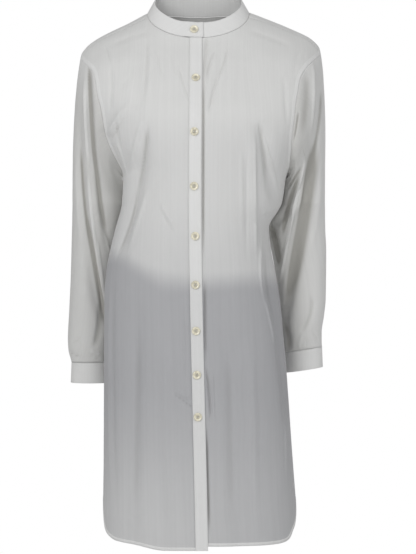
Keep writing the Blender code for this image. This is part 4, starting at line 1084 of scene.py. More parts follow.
def sleeve_fold_depth(side, angle, z):
    total = 0.0
    for f in SLEEVE_FOLDS[side]:
        if not f.low_z < z < f.top_z:
            continue
        middle, _ = bent_line((f.top_z, f.top_at), (f.mid_z, f.mid_at), (f.low_z, f.low_at), z)
        away = ((angle - middle + 180.0) % 360.0 - 180.0) / f.half_width
        total += push_in(f, away, z)
    return total


def cap_point(start, end, out, t):
    """The sleeve's cap: from an armhole point, out from the body and over, down to the hanging part."""
    span = (end - start).length
    first = start + out * span * CAP_SWELL
    last = end + Vector((0, 0, span * CAP_HANG))
    return start * (1 - t) ** 3 + first * 3 * t * (1 - t) ** 2 + last * 3 * t * t * (1 - t) + end * t**3


def sleeve_grid(side, loop):
    """Rings of points from the armhole to the cuff. Ring 0 is the armhole itself, and the folds
    begin gently below it."""
    armhole = [point for point, _ in loop]
    angles = loop_angles(armhole)
    first_z, last_z = SLEEVES[side][0].z, SLEEVES[side][-1].z
    rings = [list(armhole)]
    for j in range(1, CAP_ROWS + SLEEVE_ROWS + 1):
        ring = []
        for start, angle in zip(armhole, angles):
            if j <= CAP_ROWS:
                end, _ = sleeve_point(side, angle, first_z)
                # the cap leaves the ridge downwards and the underarm outwards
                under = abs(math.sin(math.radians(angle / 2)))
                out = Vector((side * (0.08 + 0.85 * under), 0.0, 0.70 * under - 0.95)).normalized()
                point = cap_point(start, end, out, j / CAP_ROWS)
                _, normal = sleeve_point(side, angle, first_z)
            else:
                z = first_z + (last_z - first_z) * (j - CAP_ROWS) / SLEEVE_ROWS
                point, normal = sleeve_point(side, angle, z)
            calm = smooth(2.5 * j / CAP_ROWS)
            ring.append(point - normal * sleeve_fold_depth(side, angle, point.z) * calm)
        rings.append(ring)
    return with_normals(rings, side)


def with_normals(rings, side):
    """Adds to each point of a tube the direction out of it, from its neighbours."""
    count = len(rings[0])
    out = []
    for j, ring in enumerate(rings):
        above, below = rings[max(0, j - 1)], rings[min(len(rings) - 1, j + 1)]
        row = []
        for i, point in enumerate(ring):
            round_it = ring[(i + 1) % count] - ring[i - 1]
            down = below[i] - above[i]
            row.append((point, (round_it.cross(down) * side).normalized()))
        out.append(row)
    return out


def mitre(first, second):
    """The direction along which two walls that meet at a seam share the angle, and its stretch."""
    middle = (first + second).normalized()
    return middle / max(MITRE_LEAST, middle.dot(first))


def join_at_armhole(side, loop, sleeve, front, back, yoke):
    """Gives the armhole's points one direction for the walls on both sides of the seam."""
    edge = -1 if side == LEFT else 0
    shared = [mitre(normal, sleeve[0][k][1]) for k, (_, normal) in enumerate(loop)]
    for k, direction in enumerate(shared):
        sleeve[0][k] = (sleeve[0][k][0], direction)
    count = len(shared)
    for j in range(ARMHOLE_ROWS_FRONT + 1):
        front[j][-1] = (front[j][-1][0], shared[j])
    for j in range(ARMHOLE_ROWS_BACK + 1):
        k = ARMHOLE_ROWS_FRONT + ARMHOLE_ROWS_BACK - j
        back[j][edge] = (back[j][edge][0], shared[k])
    for j in range(YOKE_ROWS + 1):
        k = ARMHOLE_ROWS_FRONT + ARMHOLE_ROWS_BACK + YOKE_ROWS - j
        yoke[j][edge] = (yoke[j][edge][0], shared[k % count])


def wrapped_band(low, high, angles, centre, lift_at, rows):
    """A band that goes once round and laps over its own end. low and high are functions of an angle."""
    grid = []
    for j in range(rows + 1):
        row = []
        for angle in angles:
            rise = high(angle) - low(angle)
            out = (high(angle + 0.5) - high(angle - 0.5)).cross(rise).normalized()
            if out.dot(low(angle) - centre) < 0:
                out = -out
            row.append((low(angle) + rise * (1 - j / rows) + out * lift_at(angle), out))
        grid.append(row)
    return grid


COLLAR_LEAN = table_curve(COLLAR_TOP, "angle", "lean")
COLLAR_TOP_Z = table_curve(COLLAR_TOP, "angle", "z")


def neck_seam_angles():
    """The angles of the points that the fronts and the yoke have on the neck seam, from -360 to 0."""
    right = [front_neck_angle(RIGHT, k / NECK_COLUMNS) for k in range(NECK_COLUMNS + 1)]
    left = [front_neck_angle(LEFT, k / NECK_COLUMNS) - 360.0 for k in range(NECK_COLUMNS + 1)]
    half = YOKE_NECK_COLUMNS // 2
    behind = [back_neck_angle(k / half) for k in range(1, half)]
    return sorted(right + left + [-a for a in behind] + [a - 360.0 for a in behind] + [-180.0])


def collar_low(angle):
    """The foot of the collar, just above the neck seam. It runs straight from point to point of it."""
    angle = (angle + 360.0) % 360.0 - 360.0
    after = bisect.bisect_left(SEAM_ANGLES, angle)
    if after in (0, len(SEAM_ANGLES)):
        point, _ = neck_point(angle)
    else:
        a, b = SEAM_ANGLES[after - 1], SEAM_ANGLES[after]
        point = neck_point(a)[0].lerp(neck_point(b)[0], (angle - a) / (b - a))
    return point + Vector((0, 0, SEAM_GAP))


def collar_high(angle):
    from_front = abs((angle + 180.0) % 360.0 - 180.0)
    foot, _ = neck_point(angle)
    inward = Vector((NECK_MIDDLE - foot.x, RIDGE_Y - foot.y, 0)).normalized()
    top = foot + inward * COLLAR_LEAN(from_front)
    return Vector((top.x, top.y, COLLAR_TOP_Z(from_front)))


def collar_lift(angle):
    """The upper end, from the wearer's right, lies over the under end."""
    return (DOUBLED + LAP_GAP) * smooth((angle - COLLAR_LIFT_FROM) / (COLLAR_LIFT_FULL - COLLAR_LIFT_FROM))


def collar_grid():
    """From the under end at the wearer's left, round the back, to the upper end at centre front."""
    behind = [(a + b) / 2 for a, b in zip(SEAM_ANGLES, SEAM_ANGLES[1:]) if b - a > COLLAR_STEP]
    ends = [COLLAR_UNDER_END, COLLAR_BUTTON_ANGLE - 360.0, 0.0, COLLAR_UPPER_END]
    angles = sorted(SEAM_ANGLES + behind + ends)
    centre = Vector((NECK_MIDDLE, RIDGE_Y, 0.0))
    return wrapped_band(collar_low, collar_high, angles, centre, collar_lift, COLLAR_ROWS)


def cuff_grid(side):
    bottom_z = SLEEVES[side][-1].z - CUFF_DROP
    wrist = sleeve_oval(side, SLEEVES[side][-1].z)

    def loop(z, ease):
        def at(angle):
            cx, cy, a, b = wrist
            c, s = math.cos(math.radians(angle)), math.sin(math.radians(angle))
            lean = CUFF_TILT[side] * c
            return Vector((cx + side * (a + ease) * c, cy - (b + ease) * s, z + lean))

        return at

    def lift(angle):
        past = angle - (CUFF_LAP_ANGLE + 360.0 - 2 * CUFF_LAP)
        return (DOUBLED + LAP_GAP) * smooth(past / CUFF_LAP)

    high = loop(SLEEVES[side][-1].z - SEAM_GAP, 0.0)
    low = loop(bottom_z, CUFF_FLARE)
    first, turn = CUFF_LAP_ANGLE - CUFF_LAP / 2, 360.0 + CUFF_LAP
    angles = [first + turn * i / CUFF_COLUMNS for i in range(CUFF_COLUMNS + 1)]
    centre = Vector((wrist[0], wrist[1], bottom_z))
    return wrapped_band(low, high, angles, centre, lift, CUFF_ROWS)


def cuff_button_place(side):
    """Where the solid of a cuff's button sits: near the upper end of the lap, half way up."""
    grid = cuff_grid(side)
    row = grid[len(grid) // 2]
    return row[-1 - CUFF_FINER]


SEAM_ANGLES = neck_seam_angles()


# ---- the cut pieces, more finely divided ----
pieces = {}  # the grids of the cut pieces, worked out once and shared by the operators
creases = {}  # the Creases of each of them


def line_tree(lines, step=0.001):
    """A search tree of places every millimetre along some lines."""
    places = []
    for line in lines:
        for a, b in zip(line, line[1:]):
            count = max(1, math.ceil((b - a).length / step))
            places += [a.lerp(b, k / count) for k in range(count)]
        places.append(line[-1])
    tree = kdtree.KDTree(len(places))
    for number, place in enumerate(places):
        tree.insert(place, number)
    tree.balance()
    return tree


def turned(grid):
    """The grid with its columns as rows."""
    return [list(column) for column in zip(*grid)]


def blend(near, far, share):
    """The point and direction this share of the way from one pair of them to another."""
    return near[0].lerp(far[0], share), near[1].lerp(far[1], share).normalized()


def finer_edge(grid, edge, shares=(0.3, 0.65)):
    """The grid with more lines in the cell beside an edge, so that a seam's groove has a shape."""

    def between(near, far):
        return [[blend(a, b, share) for a, b in zip(near, far)] for share in shares]

    if edge in ("first", "last"):
        return turned(finer_edge(turned(grid), "top" if edge == "first" else "bottom", shares))
    if edge == "top":
        return [grid[0], *between(grid[0], grid[1]), *grid[1:]]
    return [*grid[:-1], *reversed(between(grid[-1], grid[-2])), grid[-1]]


def halved_columns(grid, closed=False):
    """The grid with a column halfway between each two, on a smooth curve through the neighbours."""
    finer = []
    for row in grid:
        count = len(row)
        new_row = []
        for k in range(count if closed else count - 1):
            (a, _), (b, nb), (c, nc), (d, _) = [
                row[i % count if closed else min(count - 1, max(0, i))] for i in range(k - 1, k + 3)
            ]
            middle = (b + c) * (9 / 16) - (a + d) * (1 / 16)
            new_row += [row[k], (middle, (nb + nc).normalized())]
        finer.append(new_row if closed else [*new_row, row[-1]])
    return finer


def seam_relief(grid, welts, grooves):
    """The grid with a welt, the doubled cloth of a felled seam or hem, raised beside some lines, and a
    groove along others. Also gives each point's distance from a welt's line, in welt widths."""
    welt_trees = [(line_tree([line]), width) for line, width in welts]
    groove_tree = line_tree(grooves)
    shaped, spans = [], []
    for row in grid:
        new_row, new_spans = [], []
        for point, normal in row:
            span = NO_WELT
            for tree, width in welt_trees:
                span = min(span, tree.find(point)[2] / width)
            lift = WELT_HEIGHT * (1.0 - smooth((span - WELT_FULL) / WELT_FADE))
            away = groove_tree.find(point)[2] / GROOVE_WIDTH
            lift -= GROOVE_DEPTH * math.exp(-away * away)
            new_row.append((point + normal * lift, normal))
            new_spans.append(span)
        shaped.append(new_row)
        spans.append(new_spans)
    return shaped, spans


def edge_line(grid, edge):
    """The points of one edge of a grid."""
    lines = grid if edge in ("top", "bottom") else turned(grid)
    return [p for p, _ in lines[0 if edge in ("top", "first") else -1]]


def line_beside(grid, edge, distance, first=0, last=None):
    """Points, with the direction out of the cloth, that run beside an edge at this distance from it."""
    lines = grid if edge in ("top", "bottom") else turned(grid)
    if edge in ("bottom", "last"):
        lines = lines[::-1]
    line = []
    count = len(lines[0])
    for k in range(first, count if last is None else last + 1):
        start = lines[0][k][0]
        along = (lines[0][min(k + 1, count - 1)][0] - lines[0][max(k - 1, 0)][0]).normalized()
        into = (lines[1][k][0] - start).normalized()
        need = distance / max(SLANT_LEAST, along.cross(into).length)
        gone = 0.0
        for near, far in zip(lines, lines[1:]):
            step = (far[k][0] - near[k][0]).length
            if gone + step >= need:
                line.append(blend(near[k], far[k], (need - gone) / step))
                break
            gone += step
    return line


def cut_pieces():
    """Works out every piece of the body and the sleeves, with shared points where they are sewn."""
    if pieces:
        return pieces
    fronts = {side: front_grid(side) for side in (RIGHT, LEFT)}
    back, yoke = back_grid(), yoke_grid()
    sleeves = {}
    for side, name in SIDE_NAME.items():
        loop = armhole_loop(side, fronts[side], back, yoke)
        sleeves[side] = sleeve_grid(side, loop)
        join_at_armhole(side, loop, sleeves[side], fronts[side], back, yoke)
        pieces[f"armhole_{name}"] = [p for p, _ in loop] + [loop[0][0]]
    for side, name in SIDE_NAME.items():
        front, sleeve = f"front_{name}", f"sleeve_{name}"
        creases[front], creases[sleeve] = Creases(front), Creases(sleeve, f"{sleeve}_behind")
        pieces[front] = creased(halved_columns(fronts[side]), creases[front], open_end=True)
        pieces[sleeve] = creased(halved_columns(sleeves[side], closed=True), creases[sleeve], closed=True)
    creases["back"], creases["yoke"] = Creases("back"), Creases("yoke")
    pieces["back"] = creased(back, creases["back"], open_end=True)
    pieces["yoke"] = creased(yoke, creases["yoke"])
    return pieces


# ---- meshes ----
def made_mesh(bm, name):
    """The mesh that a bmesh has come to."""
    mesh = bpy.data.meshes.new(name)
    bm.to_mesh(mesh)
    bm.free()
    return mesh


def linked(name, data):
    """A new object in the scene for a mesh, light or camera."""
    obj = bpy.data.objects.new(name, data)
    bpy.context.scene.collection.objects.link(obj)
    return obj


def add_piece(name, mesh, surface, body="root"):
    obj = linked(name, mesh)
    mesh.materials.clear()
    mesh.materials.append(surface)
    if body:
        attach(obj, body)
    return obj


def grid_mesh(name, grid, spans=None, closed=False, grain=0.5):
    """A smooth one-sided sheet through a grid, with its thread directions as the UV map in metres. The
    lengthwise threads are straight at this share of each row."""
    rows, columns = len(grid) - 1, len(grid[0]) - (0 if closed else 1)
    down = gone_along([row[len(row) // 2][0] for row in grid])
    across = []
    for row in grid:
        gone = gone_along([p for p, _ in row] + ([row[0][0]] if closed else []))
        across.append([g - gone[-1] * grain for g in gone])
    bm = bmesh.new()
    bmesh.ops.create_grid(bm, x_segments=columns, y_segments=rows, size=0.5)
    threads = bm.loops.layers.uv.new("threads")
    doubled = bm.verts.layers.float.new("doubled")
    hollow = bm.verts.layers.float.new("hollow")
    outward = 0.0
    places = {v: (round((v.co.x + 0.5) * columns), round((0.5 - v.co.y) * rows)) for v in bm.verts}
    for vert, (i, j) in places.items():
        point, normal = grid[j][i % len(grid[0])]
        vert.co = point
        # hollow: how far the creases push the cloth in, which the cotton turns into painted shade
        vert[hollow] = creases[name].push(point, normal) / HOLLOW_DEPTH if name in creases else 0.0
        vert[doubled] = spans[j][i % len(grid[0])] if spans else NO_WELT
        for loop in vert.link_loops:
            loop[threads].uv = (across[j][i], down[j])
    for face in bm.faces:
        i, j = places[face.verts[0]]
        face.normal_update()
        outward += face.normal.dot(grid[j][i % len(grid[0])][1])
    if outward < 0:
        bmesh.ops.reverse_faces(bm, faces=bm.faces[:])
    if closed:
        bmesh.ops.remove_doubles(bm, verts=bm.verts, dist=1e-7)
    mesh = made_mesh(bm, name)
    mesh.shade_smooth()
    return mesh


def thicken(obj, thickness, fold=0.0):
    """Gives a sheet its thickness on the inside. A folded edge is rounded by this much."""
    wall = obj.modifiers.new("thickness", "SOLIDIFY")
    wall.thickness = thickness
    wall.offset = -1.0
    wall.use_rim = True
    if fold:
        edge = obj.modifiers.new("folded edge", "BEVEL")
        edge.width = fold
        edge.segments = 3
        edge.limit_method = "ANGLE"
        edge.angle_limit = math.radians(55)
        edge.harden_normals = False
    return obj


def stitch_places(line, length, gap):
    """Start, end and outward direction of each stitch along a line of points."""
    places, gone = [], gone_along([p for p, _ in line])
    total = gone[-1]
    count = int(total // (length + gap))
    pitch = total / max(1, count)
    k = 0

    def at(distance):
        nonlocal k
        while k < len(gone) - 2 and gone[k + 1] < distance:
            k += 1
        share = (distance - gone[k]) / max(1e-9, gone[k + 1] - gone[k])
        return blend(line[k], line[k + 1], share)

    for number in range(count):
        start, out = at(number * pitch + gap / 2)
        end, _ = at(number * pitch + gap / 2 + length)
        places.append((start, end, out))
    return places


def add_stitches(name, places, width, sunk=0.35):
    """Every stitch of some seams as one mesh: small grains of thread, sunk by a share of their width."""
    bm = bmesh.new()
    for start, end, out in places:
        along = end - start
        half = along.length / 2
        if half < 1e-6:
            continue
        along = along.normalized()
        across = out.cross(along).normalized()
        up = along.cross(across)
        turn = Matrix((along * half, across * width / 2, up * width / 2)).transposed().to_4x4()
        middle = (start + end) / 2 + out * width * (0.5 - sunk)
        bmesh.ops.create_icosphere(bm, subdivisions=1, radius=1.0, matrix=Matrix.Translation(middle) @ turn)
    mesh = made_mesh(bm, name)
    mesh.shade_smooth()
    return add_piece(name, mesh, material("sewing_thread"))


# ---- settings ----
class ClothSettings(bpy.types.PropertyGroup):
    colour: FloatVectorProperty(
        name="Cotton", description="Colour of one layer of the cloth", subtype="COLOR",
        default=(0.765, 0.765, 0.752), min=0, max=1,
    )
    doubled_colour: FloatVectorProperty(
        name="Doubled cotton", description="Colour where two or more layers lie on each other",
        subtype="COLOR", default=(0.82, 0.82, 0.81), min=0, max=1,
    )
    shade_colour: FloatVectorProperty(
        name="Shaded cotton", description="Colour of the skirt, where dark clothes show through",
        subtype="COLOR", default=(0.445, 0.447, 0.46), min=0, max=1,
    )
    # painted shade: the tint that the cloth is multiplied towards in deep creases and on the sleeves
    painted_shade_colour: FloatVectorProperty(
        name="Hollows", description="Tint of the cloth in a deep crease or a sleeve", subtype="COLOR",
        default=(0.54, 0.53, 0.505), min=0, max=1,
    )
    thickness: FloatProperty(
        name="Cloth thickness", description="Thickness of one layer", default=0.0005, unit="LENGTH",
    )
    doubled_thickness: FloatProperty(
        name="Collar thickness", description="Thickness of collar, cuffs and upper band, all layers",
        default=0.0018, unit="LENGTH",
    )
    streaks: FloatProperty(
        name="Streaks", description="How much the lengthwise threads vary in tone",
        default=0.055, min=0, max=1,
    )
    sheen: FloatProperty(
        name="Sheen", description="Soft light from the fibres at the edges", default=0.12, min=0, max=1,
    )


class SewingSettings(bpy.types.PropertyGroup):
    colour: FloatVectorProperty(
        name="Thread", description="Colour of the sewing thread", subtype="COLOR",
        default=(0.80, 0.80, 0.785), min=0, max=1,
    )
    stitch: FloatProperty(
        name="Stitch length", description="Length of one stitch on the surface",
        default=0.0021, unit="LENGTH",
    )
    gap: FloatProperty(
        name="Stitch gap", description="Space between stitches", default=0.0007, unit="LENGTH",
    )
    thread: FloatProperty(
        name="Thread width", description="Width of the sewing thread", default=0.00042, unit="LENGTH",
    )
    hem_depth: FloatProperty(
        name="Hem depth", description="Height of the turned hem", default=0.0060, unit="LENGTH",
    )
    felled: FloatProperty(
        name="Felled seam", description="Width of the flat seams at armholes and sides",
        default=0.0078, unit="LENGTH",
    )


class ButtonSettings(bpy.types.PropertyGroup):
    colour: FloatVectorProperty(
        name="Shell", description="Colour of the buttons", subtype="COLOR",
        default=(0.68, 0.64, 0.50), min=0, max=1,
    )
    radius: FloatProperty(
        name="Radius", description="Radius of a button, that of the solid one by default",
        default=(BUTTON_HIGH.x - BUTTON_LOW.x) / 2, unit="LENGTH",
    )
    sides: IntProperty(name="Sides", description="Faces round a button", default=40, min=12, max=96)


class StageSettings(bpy.types.PropertyGroup):
    floor_z: FloatProperty(
        name="Floor height", description="Height of the floor, where the wearer would stand",
        default=-1.45, unit="LENGTH",
    )
    floor_colour: FloatVectorProperty(
        name="Floor", description="Colour of the floor", subtype="COLOR",
        default=(0.88, 0.88, 0.88), min=0, max=1,
    )
    ambient: FloatProperty(
        name="Ambient light", description="Strength of the even light from all round", default=0.36, min=0,
    )
    key: FloatProperty(name="Key light", description="Power of the front light", default=37.0, unit="POWER")
    fill: FloatProperty(
        name="Fill light", description="Power of the light on the other side", default=17.5, unit="POWER",
    )
    rear: FloatProperty(name="Rear light", description="Power of the rear light", default=30.0, unit="POWER")


class DressSettings(bpy.types.PropertyGroup):
    cloth: PointerProperty(type=ClothSettings)
    sewing: PointerProperty(type=SewingSettings)
    buttons: PointerProperty(type=ButtonSettings)
    stage: PointerProperty(type=StageSettings)


def settings():
    return bpy.context.scene.shirt_dress


# ---- finishes ----
class Wire:
    """A shader socket that takes part in sums: each operator adds the Math node that it stands for."""

    def __init__(self, board, socket):
        self.board, self.socket = board, socket

    def with_node(self, operation, *values):
        return self.board.node("ShaderNodeMath", {"operation": operation}, dict(enumerate(values)))

    def __add__(self, other):
        return self.with_node("ADD", self, other)

    def __sub__(self, other):
        return self.with_node("SUBTRACT", self, other)

    def __rsub__(self, other):
        return self.with_node("SUBTRACT", other, self)

    def __mul__(self, other):
        return self.with_node("MULTIPLY", self, other)

    __radd__ = __add__
    __rmul__ = __mul__

    def wave(self, pitch):
        return self.with_node("SINE", self * (2 * math.pi / pitch))


class Finish:
    """A material under construction. node() is the one way that a node is added."""

    def __init__(self, name, roughness, **fixed):
        self.material = bpy.data.materials.new(name)
        self.material.use_nodes = True
        self.tree = self.material.node_tree
        self.shader = self.tree.nodes["Principled BSDF"]
        self.shader.inputs["Roughness"].default_value = roughness
        for socket, value in fixed.items():
            self.shader.inputs[socket.replace("_", " ")].default_value = value

    def node(self, kind, choices=None, values=None, out=0):
        made = self.tree.nodes.new(kind)
        for name, choice in (choices or {}).items():
            setattr(made, name, choice)
        for socket, value in (values or {}).items():
            if isinstance(value, Wire):
                self.tree.links.new(value.socket, made.inputs[socket])
            else:
                made.inputs[socket].default_value = value
        return Wire(self, made.outputs[out])

    def ease(self, value, start, end, low=0.0, high=1.0):
        return self.node(
            "ShaderNodeMapRange",
            {"interpolation_type": "SMOOTHSTEP"},
            {"Value": value, "From Min": start, "From Max": end, "To Min": low, "To Max": high},
        )

    def mix(self, factor, first, second, blend="MIX"):
        values = {0: factor}
        for socket, colour in ((6, first), (7, second)):
            values[socket] = colour if isinstance(colour, Wire) else (*colour, 1.0)
        return self.node("ShaderNodeMix", {"data_type": "RGBA", "blend_type": blend}, values, out=2)

    def tinted(self, colour, strength):
        return self.node("ShaderNodeVectorMath", {"operation": "SCALE"}, {0: colour, "Scale": strength})

    def stretched_noise(self, vector, across, along, detail=2.0):
        scaled = self.node(
            "ShaderNodeVectorMath", {"operation": "MULTIPLY"}, {0: vector, 1: (across, along, across)}
        )
        return self.node("ShaderNodeTexNoise", None, {"Vector": scaled, "Scale": 1.0, "Detail": detail})

    def parts(self, vector):
        split = self.node("ShaderNodeSeparateXYZ", None, {0: vector}).socket.node
        return [Wire(self, socket) for socket in split.outputs]

    def place(self):
        return self.node("ShaderNodeTexCoord", out="Object")

    def attribute(self, name):
        return self.node("ShaderNodeAttribute", {"attribute_name": name}, out="Fac")

    def put(self, socket, wire):
        self.tree.links.new(wire.socket, self.shader.inputs[socket])

    def bump(self, height):
        """Raises the surface by this height in metres."""
        values = {"Height": height, "Distance": 1.0, "Strength": 1.0}
        self.put("Normal", self.node("ShaderNodeBump", None, values, out="Normal"))


def skirt_dark(finish, x, z, place):
    """Dark clothes under the skirt: from the waist down, paler towards the hem, where they hang away. Above
    the waist the bodice greys a little too, fading out higher up.
    """
    soft = finish.stretched_noise(place, 7.0, 7.0) - 0.5
    above = z - (finish.ease(x, -0.17, -0.06, WAIST_RISE, 0.0) + WAIST_Z + soft * 0.03)
    dark = sum(finish.ease(above, start, end, share, 0.0) for share, start, end in WAIST_FADES)
    paler = finish.ease(z, -0.66, -0.95) * finish.ease(x, -0.10, 0.12, 0.50, 0.24)
    return dark * (1.0 - paler)


def painted_sleeve_shade(finish, x, z):
    """Painted shade on a sleeve below the shoulder: darkest on the side towards the body, which keeps the
    light off it, and on the right sleeve greyer on its outer side too.
    """
    inner = finish.ease(x.with_node("ABSOLUTE", x), 0.226, 0.172)
    left = finish.ease(x, -0.1, 0.1)
    below_shoulder = finish.ease(z, -0.07, -0.20)
    return below_shoulder * (inner * (left * 0.22 + 0.16) - left * 0.20 + 0.22)


def cotton(name, colour, skirt=1.0, sleeve=0.0, crease_shade=0.6):
    """White cotton with a plain weave and uneven lengthwise threads. Dark clothes behind the thin cloth
    of the skirt show through it, and less so where it is doubled. Painted shade darkens the hollows of
    the creases, and the sleeves most on the side towards the body, less where doubled. The three
    numbers after the colour say how strong each of these three is."""
    cloth = settings().cloth
    sheen = {"Sheen_Weight": cloth.sheen, "Sheen_Roughness": 0.45}
    finish = Finish(name, ROUGHNESS, Specular_IOR_Level=0.25, **sheen)
    place = finish.place()
    threads = finish.node("ShaderNodeUVMap", {"uv_map": "threads"})
    doubled = finish.attribute("doubled")
    hollow = finish.attribute("hollow")
    layered = finish.ease(doubled, 0.97, 1.05, 1.0, 0.0)
    u, v, _ = finish.parts(threads)
    x, _, z = finish.parts(place)

    base = finish.mix(layered, colour, tuple(cloth.doubled_colour))
    thin = 1.0 - layered * 0.85
    if skirt:
        base = finish.mix(skirt_dark(finish, x, z, place) * thin * skirt, base, tuple(cloth.shade_colour))
    # painted shade, darkest in the hollows of the creases; along the ridges it takes some of a sleeve's
    # painted shade away
    shaded = finish.ease(hollow, 0.1, 1.3) * crease_shade + finish.ease(hollow, -0.6, -0.1, -0.25 * crease_shade, 0.0)
    # painted shade on the sleeves, weaker where the cloth is doubled
    if sleeve:
        shaded = shaded + painted_sleeve_shade(finish, x, z) * thin * sleeve
    # the painted shade multiplies the colour towards its tint
    base = finish.mix(shaded, base, tuple(cloth.painted_shade_colour), "MULTIPLY")
    streak = finish.stretched_noise(threads, 210.0, 2.6, 3.0) - 0.5
    slub = finish.stretched_noise(threads, 620.0, 60.0, 2.0) - 0.5
    cloudy = finish.stretched_noise(place, 14.0, 14.0, 2.0) - 0.5
    tone = streak * cloth.streaks * 2.0 + slub * 0.03 + cloudy * 0.035 + 1.0
    finish.put("Base Color", finish.tinted(base, tone))
    finish.put("Roughness", ROUGHNESS + streak * 0.12)

    weave = u.wave(WARP_PITCH) * WEAVE_HEIGHT + v.wave(WEFT_PITCH) * WEAVE_HEIGHT
    crumple = (finish.stretched_noise(place, 60.0, 60.0, 3.0) - 0.5) * CRUMPLE_HEIGHT
    raised = layered * LAYER_HEIGHT + slub * SLUB_HEIGHT
    finish.bump(weave + crumple + raised)
    return finish.material


def thread_finish(name):
    """Twisted white sewing thread."""
    finish = Finish(name, 0.6, Sheen_Weight=0.2, Specular_IOR_Level=0.35)
    place = finish.place()
    fuzz = finish.stretched_noise(place, 1400.0, 1400.0) - 0.5
    colour = tuple(settings().sewing.colour)
    base = finish.mix(finish.ease(fuzz, -0.3, 0.3), tuple(0.9 * c for c in colour), colour)
    finish.put("Base Color", base)
    finish.bump(fuzz * 0.00008)
    return finish.material


def shell_finish(name):
    """Polished cream shell: cloudy, with faint bands, and painted shade over the dish and its holes, darkest
    in the middle.
    """
    finish = Finish(name, 0.28, Coat_Roughness=0.12, Specular_IOR_Level=0.5)
    place = finish.place()
    rim = finish.attribute("rim")
    cloud = finish.stretched_noise(place, 260.0, 260.0, 3.0)
    bands = finish.stretched_noise(place, 90.0, 700.0, 2.0)
    cream = tuple(settings().buttons.colour)
    light = tuple(min(1.0, c * 1.3 + 0.05) for c in cream)
    # painted shade for the dish: the cream darkened
    dark = tuple(c * f for c, f in zip(cream, (0.62, 0.60, 0.56)))
    base = finish.mix(finish.ease(cloud * 0.6 + bands * 0.4, 0.38, 0.62), cream, light)
    # painted shade over the dish, darkest in the middle and gone before the rim
    base = finish.mix(finish.ease(rim, 0.25, 0.8, 0.75, 0.0), base, dark)
    finish.put("Base Color", base)
    finish.put("Roughness", 0.22 + cloud * 0.2)
    finish.put("Coat Weight", 0.35 + cloud * 0.2)
    finish.bump(cloud * 0.00006)
    return finish.material


def material(name):
    """The named finish, made when it is first asked for."""
    found = bpy.data.materials.get(name)
    if found:
        return found
    cloth = settings().cloth
    single, doubled = tuple(cloth.colour), tuple(cloth.doubled_colour)
    makers = {
        "body_cotton": lambda: cotton(name, single),
        # the sleeves and cuffs get painted shade, strongest towards the body
        "sleeve_cotton": lambda: cotton(name, single, skirt=0.0, sleeve=1.0, crease_shade=1.0),
        "band_cotton": lambda: cotton(name, doubled, skirt=0.22),
        "collar_cotton": lambda: cotton(name, doubled, skirt=0.0),
        "cuff_cotton": lambda: cotton(name, doubled, skirt=0.0, sleeve=0.6),
        "sewing_thread": lambda: thread_finish(name),
        "shell": lambda: shell_finish(name),
    }
    return makers[name]()


# ---- the pieces ----
CUTS = {  # width, length and area of what shows of each sheet
    "front_right": (0.262, 0.989, 0.1991),
    "front_left": (0.27, 0.992, 0.1984),
    "back": (0.564, 0.873, 0.3857),
    "yoke": (0.61, 0.184, 0.0623),
    "sleeve_right": (0.587, 0.581, 0.1433),
    "sleeve_left": (0.614, 0.561, 0.137),
    "cuff_right": (0.252, 0.038, 0.0094),
    "cuff_left": (0.246, 0.038, 0.0091),
    "collar": (0.573, 0.037, 0.0164),
    "band_upper": (0.022, 0.938, 0.0206),
    "band_under": (0.017, 0.93, 0.0158),
}


def declare(obj, node, with_pieces=()):
    """Hides the solid that the piece stands for, and reads the size of its cut without keeping it."""
    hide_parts(node)
    width, length, area = CUTS[node]
    return obj


def panel(node, grid, welts, grooves, surface="body_cotton", **shape):
    """One layer of cloth, with the relief of its seams."""
    shaped, spans = seam_relief(grid, welts, grooves)
    pieces[f"{node}_shaped"] = shaped
    piece = add_piece(f"{node}_cloth", grid_mesh(node, shaped, spans, **shape), material(surface))
    return thicken(piece, settings().cloth.thickness)


def hem_strip(node):
    """The turned hem: two layers inside a piece's lower edge."""
    name, grid = f"{node}_hem", pieces[f"{node}_shaped"]
    depth, cloth = settings().sewing.hem_depth, settings().cloth
    steps = [depth * k / HEM_ROWS for k in range(HEM_ROWS, -1, -1)]
    lines = [line_beside(grid, "bottom", max(1e-6, step)) for step in steps]
    count = min(len(line) for line in lines)
    inside = cloth.thickness + HEM_GAP
    strip = [[(p - n * inside, n) for p, n in line[:count]] for line in lines]
    obj = add_piece(name, grid_mesh(name, strip, [[0.0] * count for _ in strip]), material("body_cotton"))
    thicken(obj, cloth.thickness * HEM_THICKNESS, fold=HEM_FOLD)
    return obj


class Maker:
    """What every operator of the dress shares."""

    bl_options = {"REGISTER", "UNDO"}


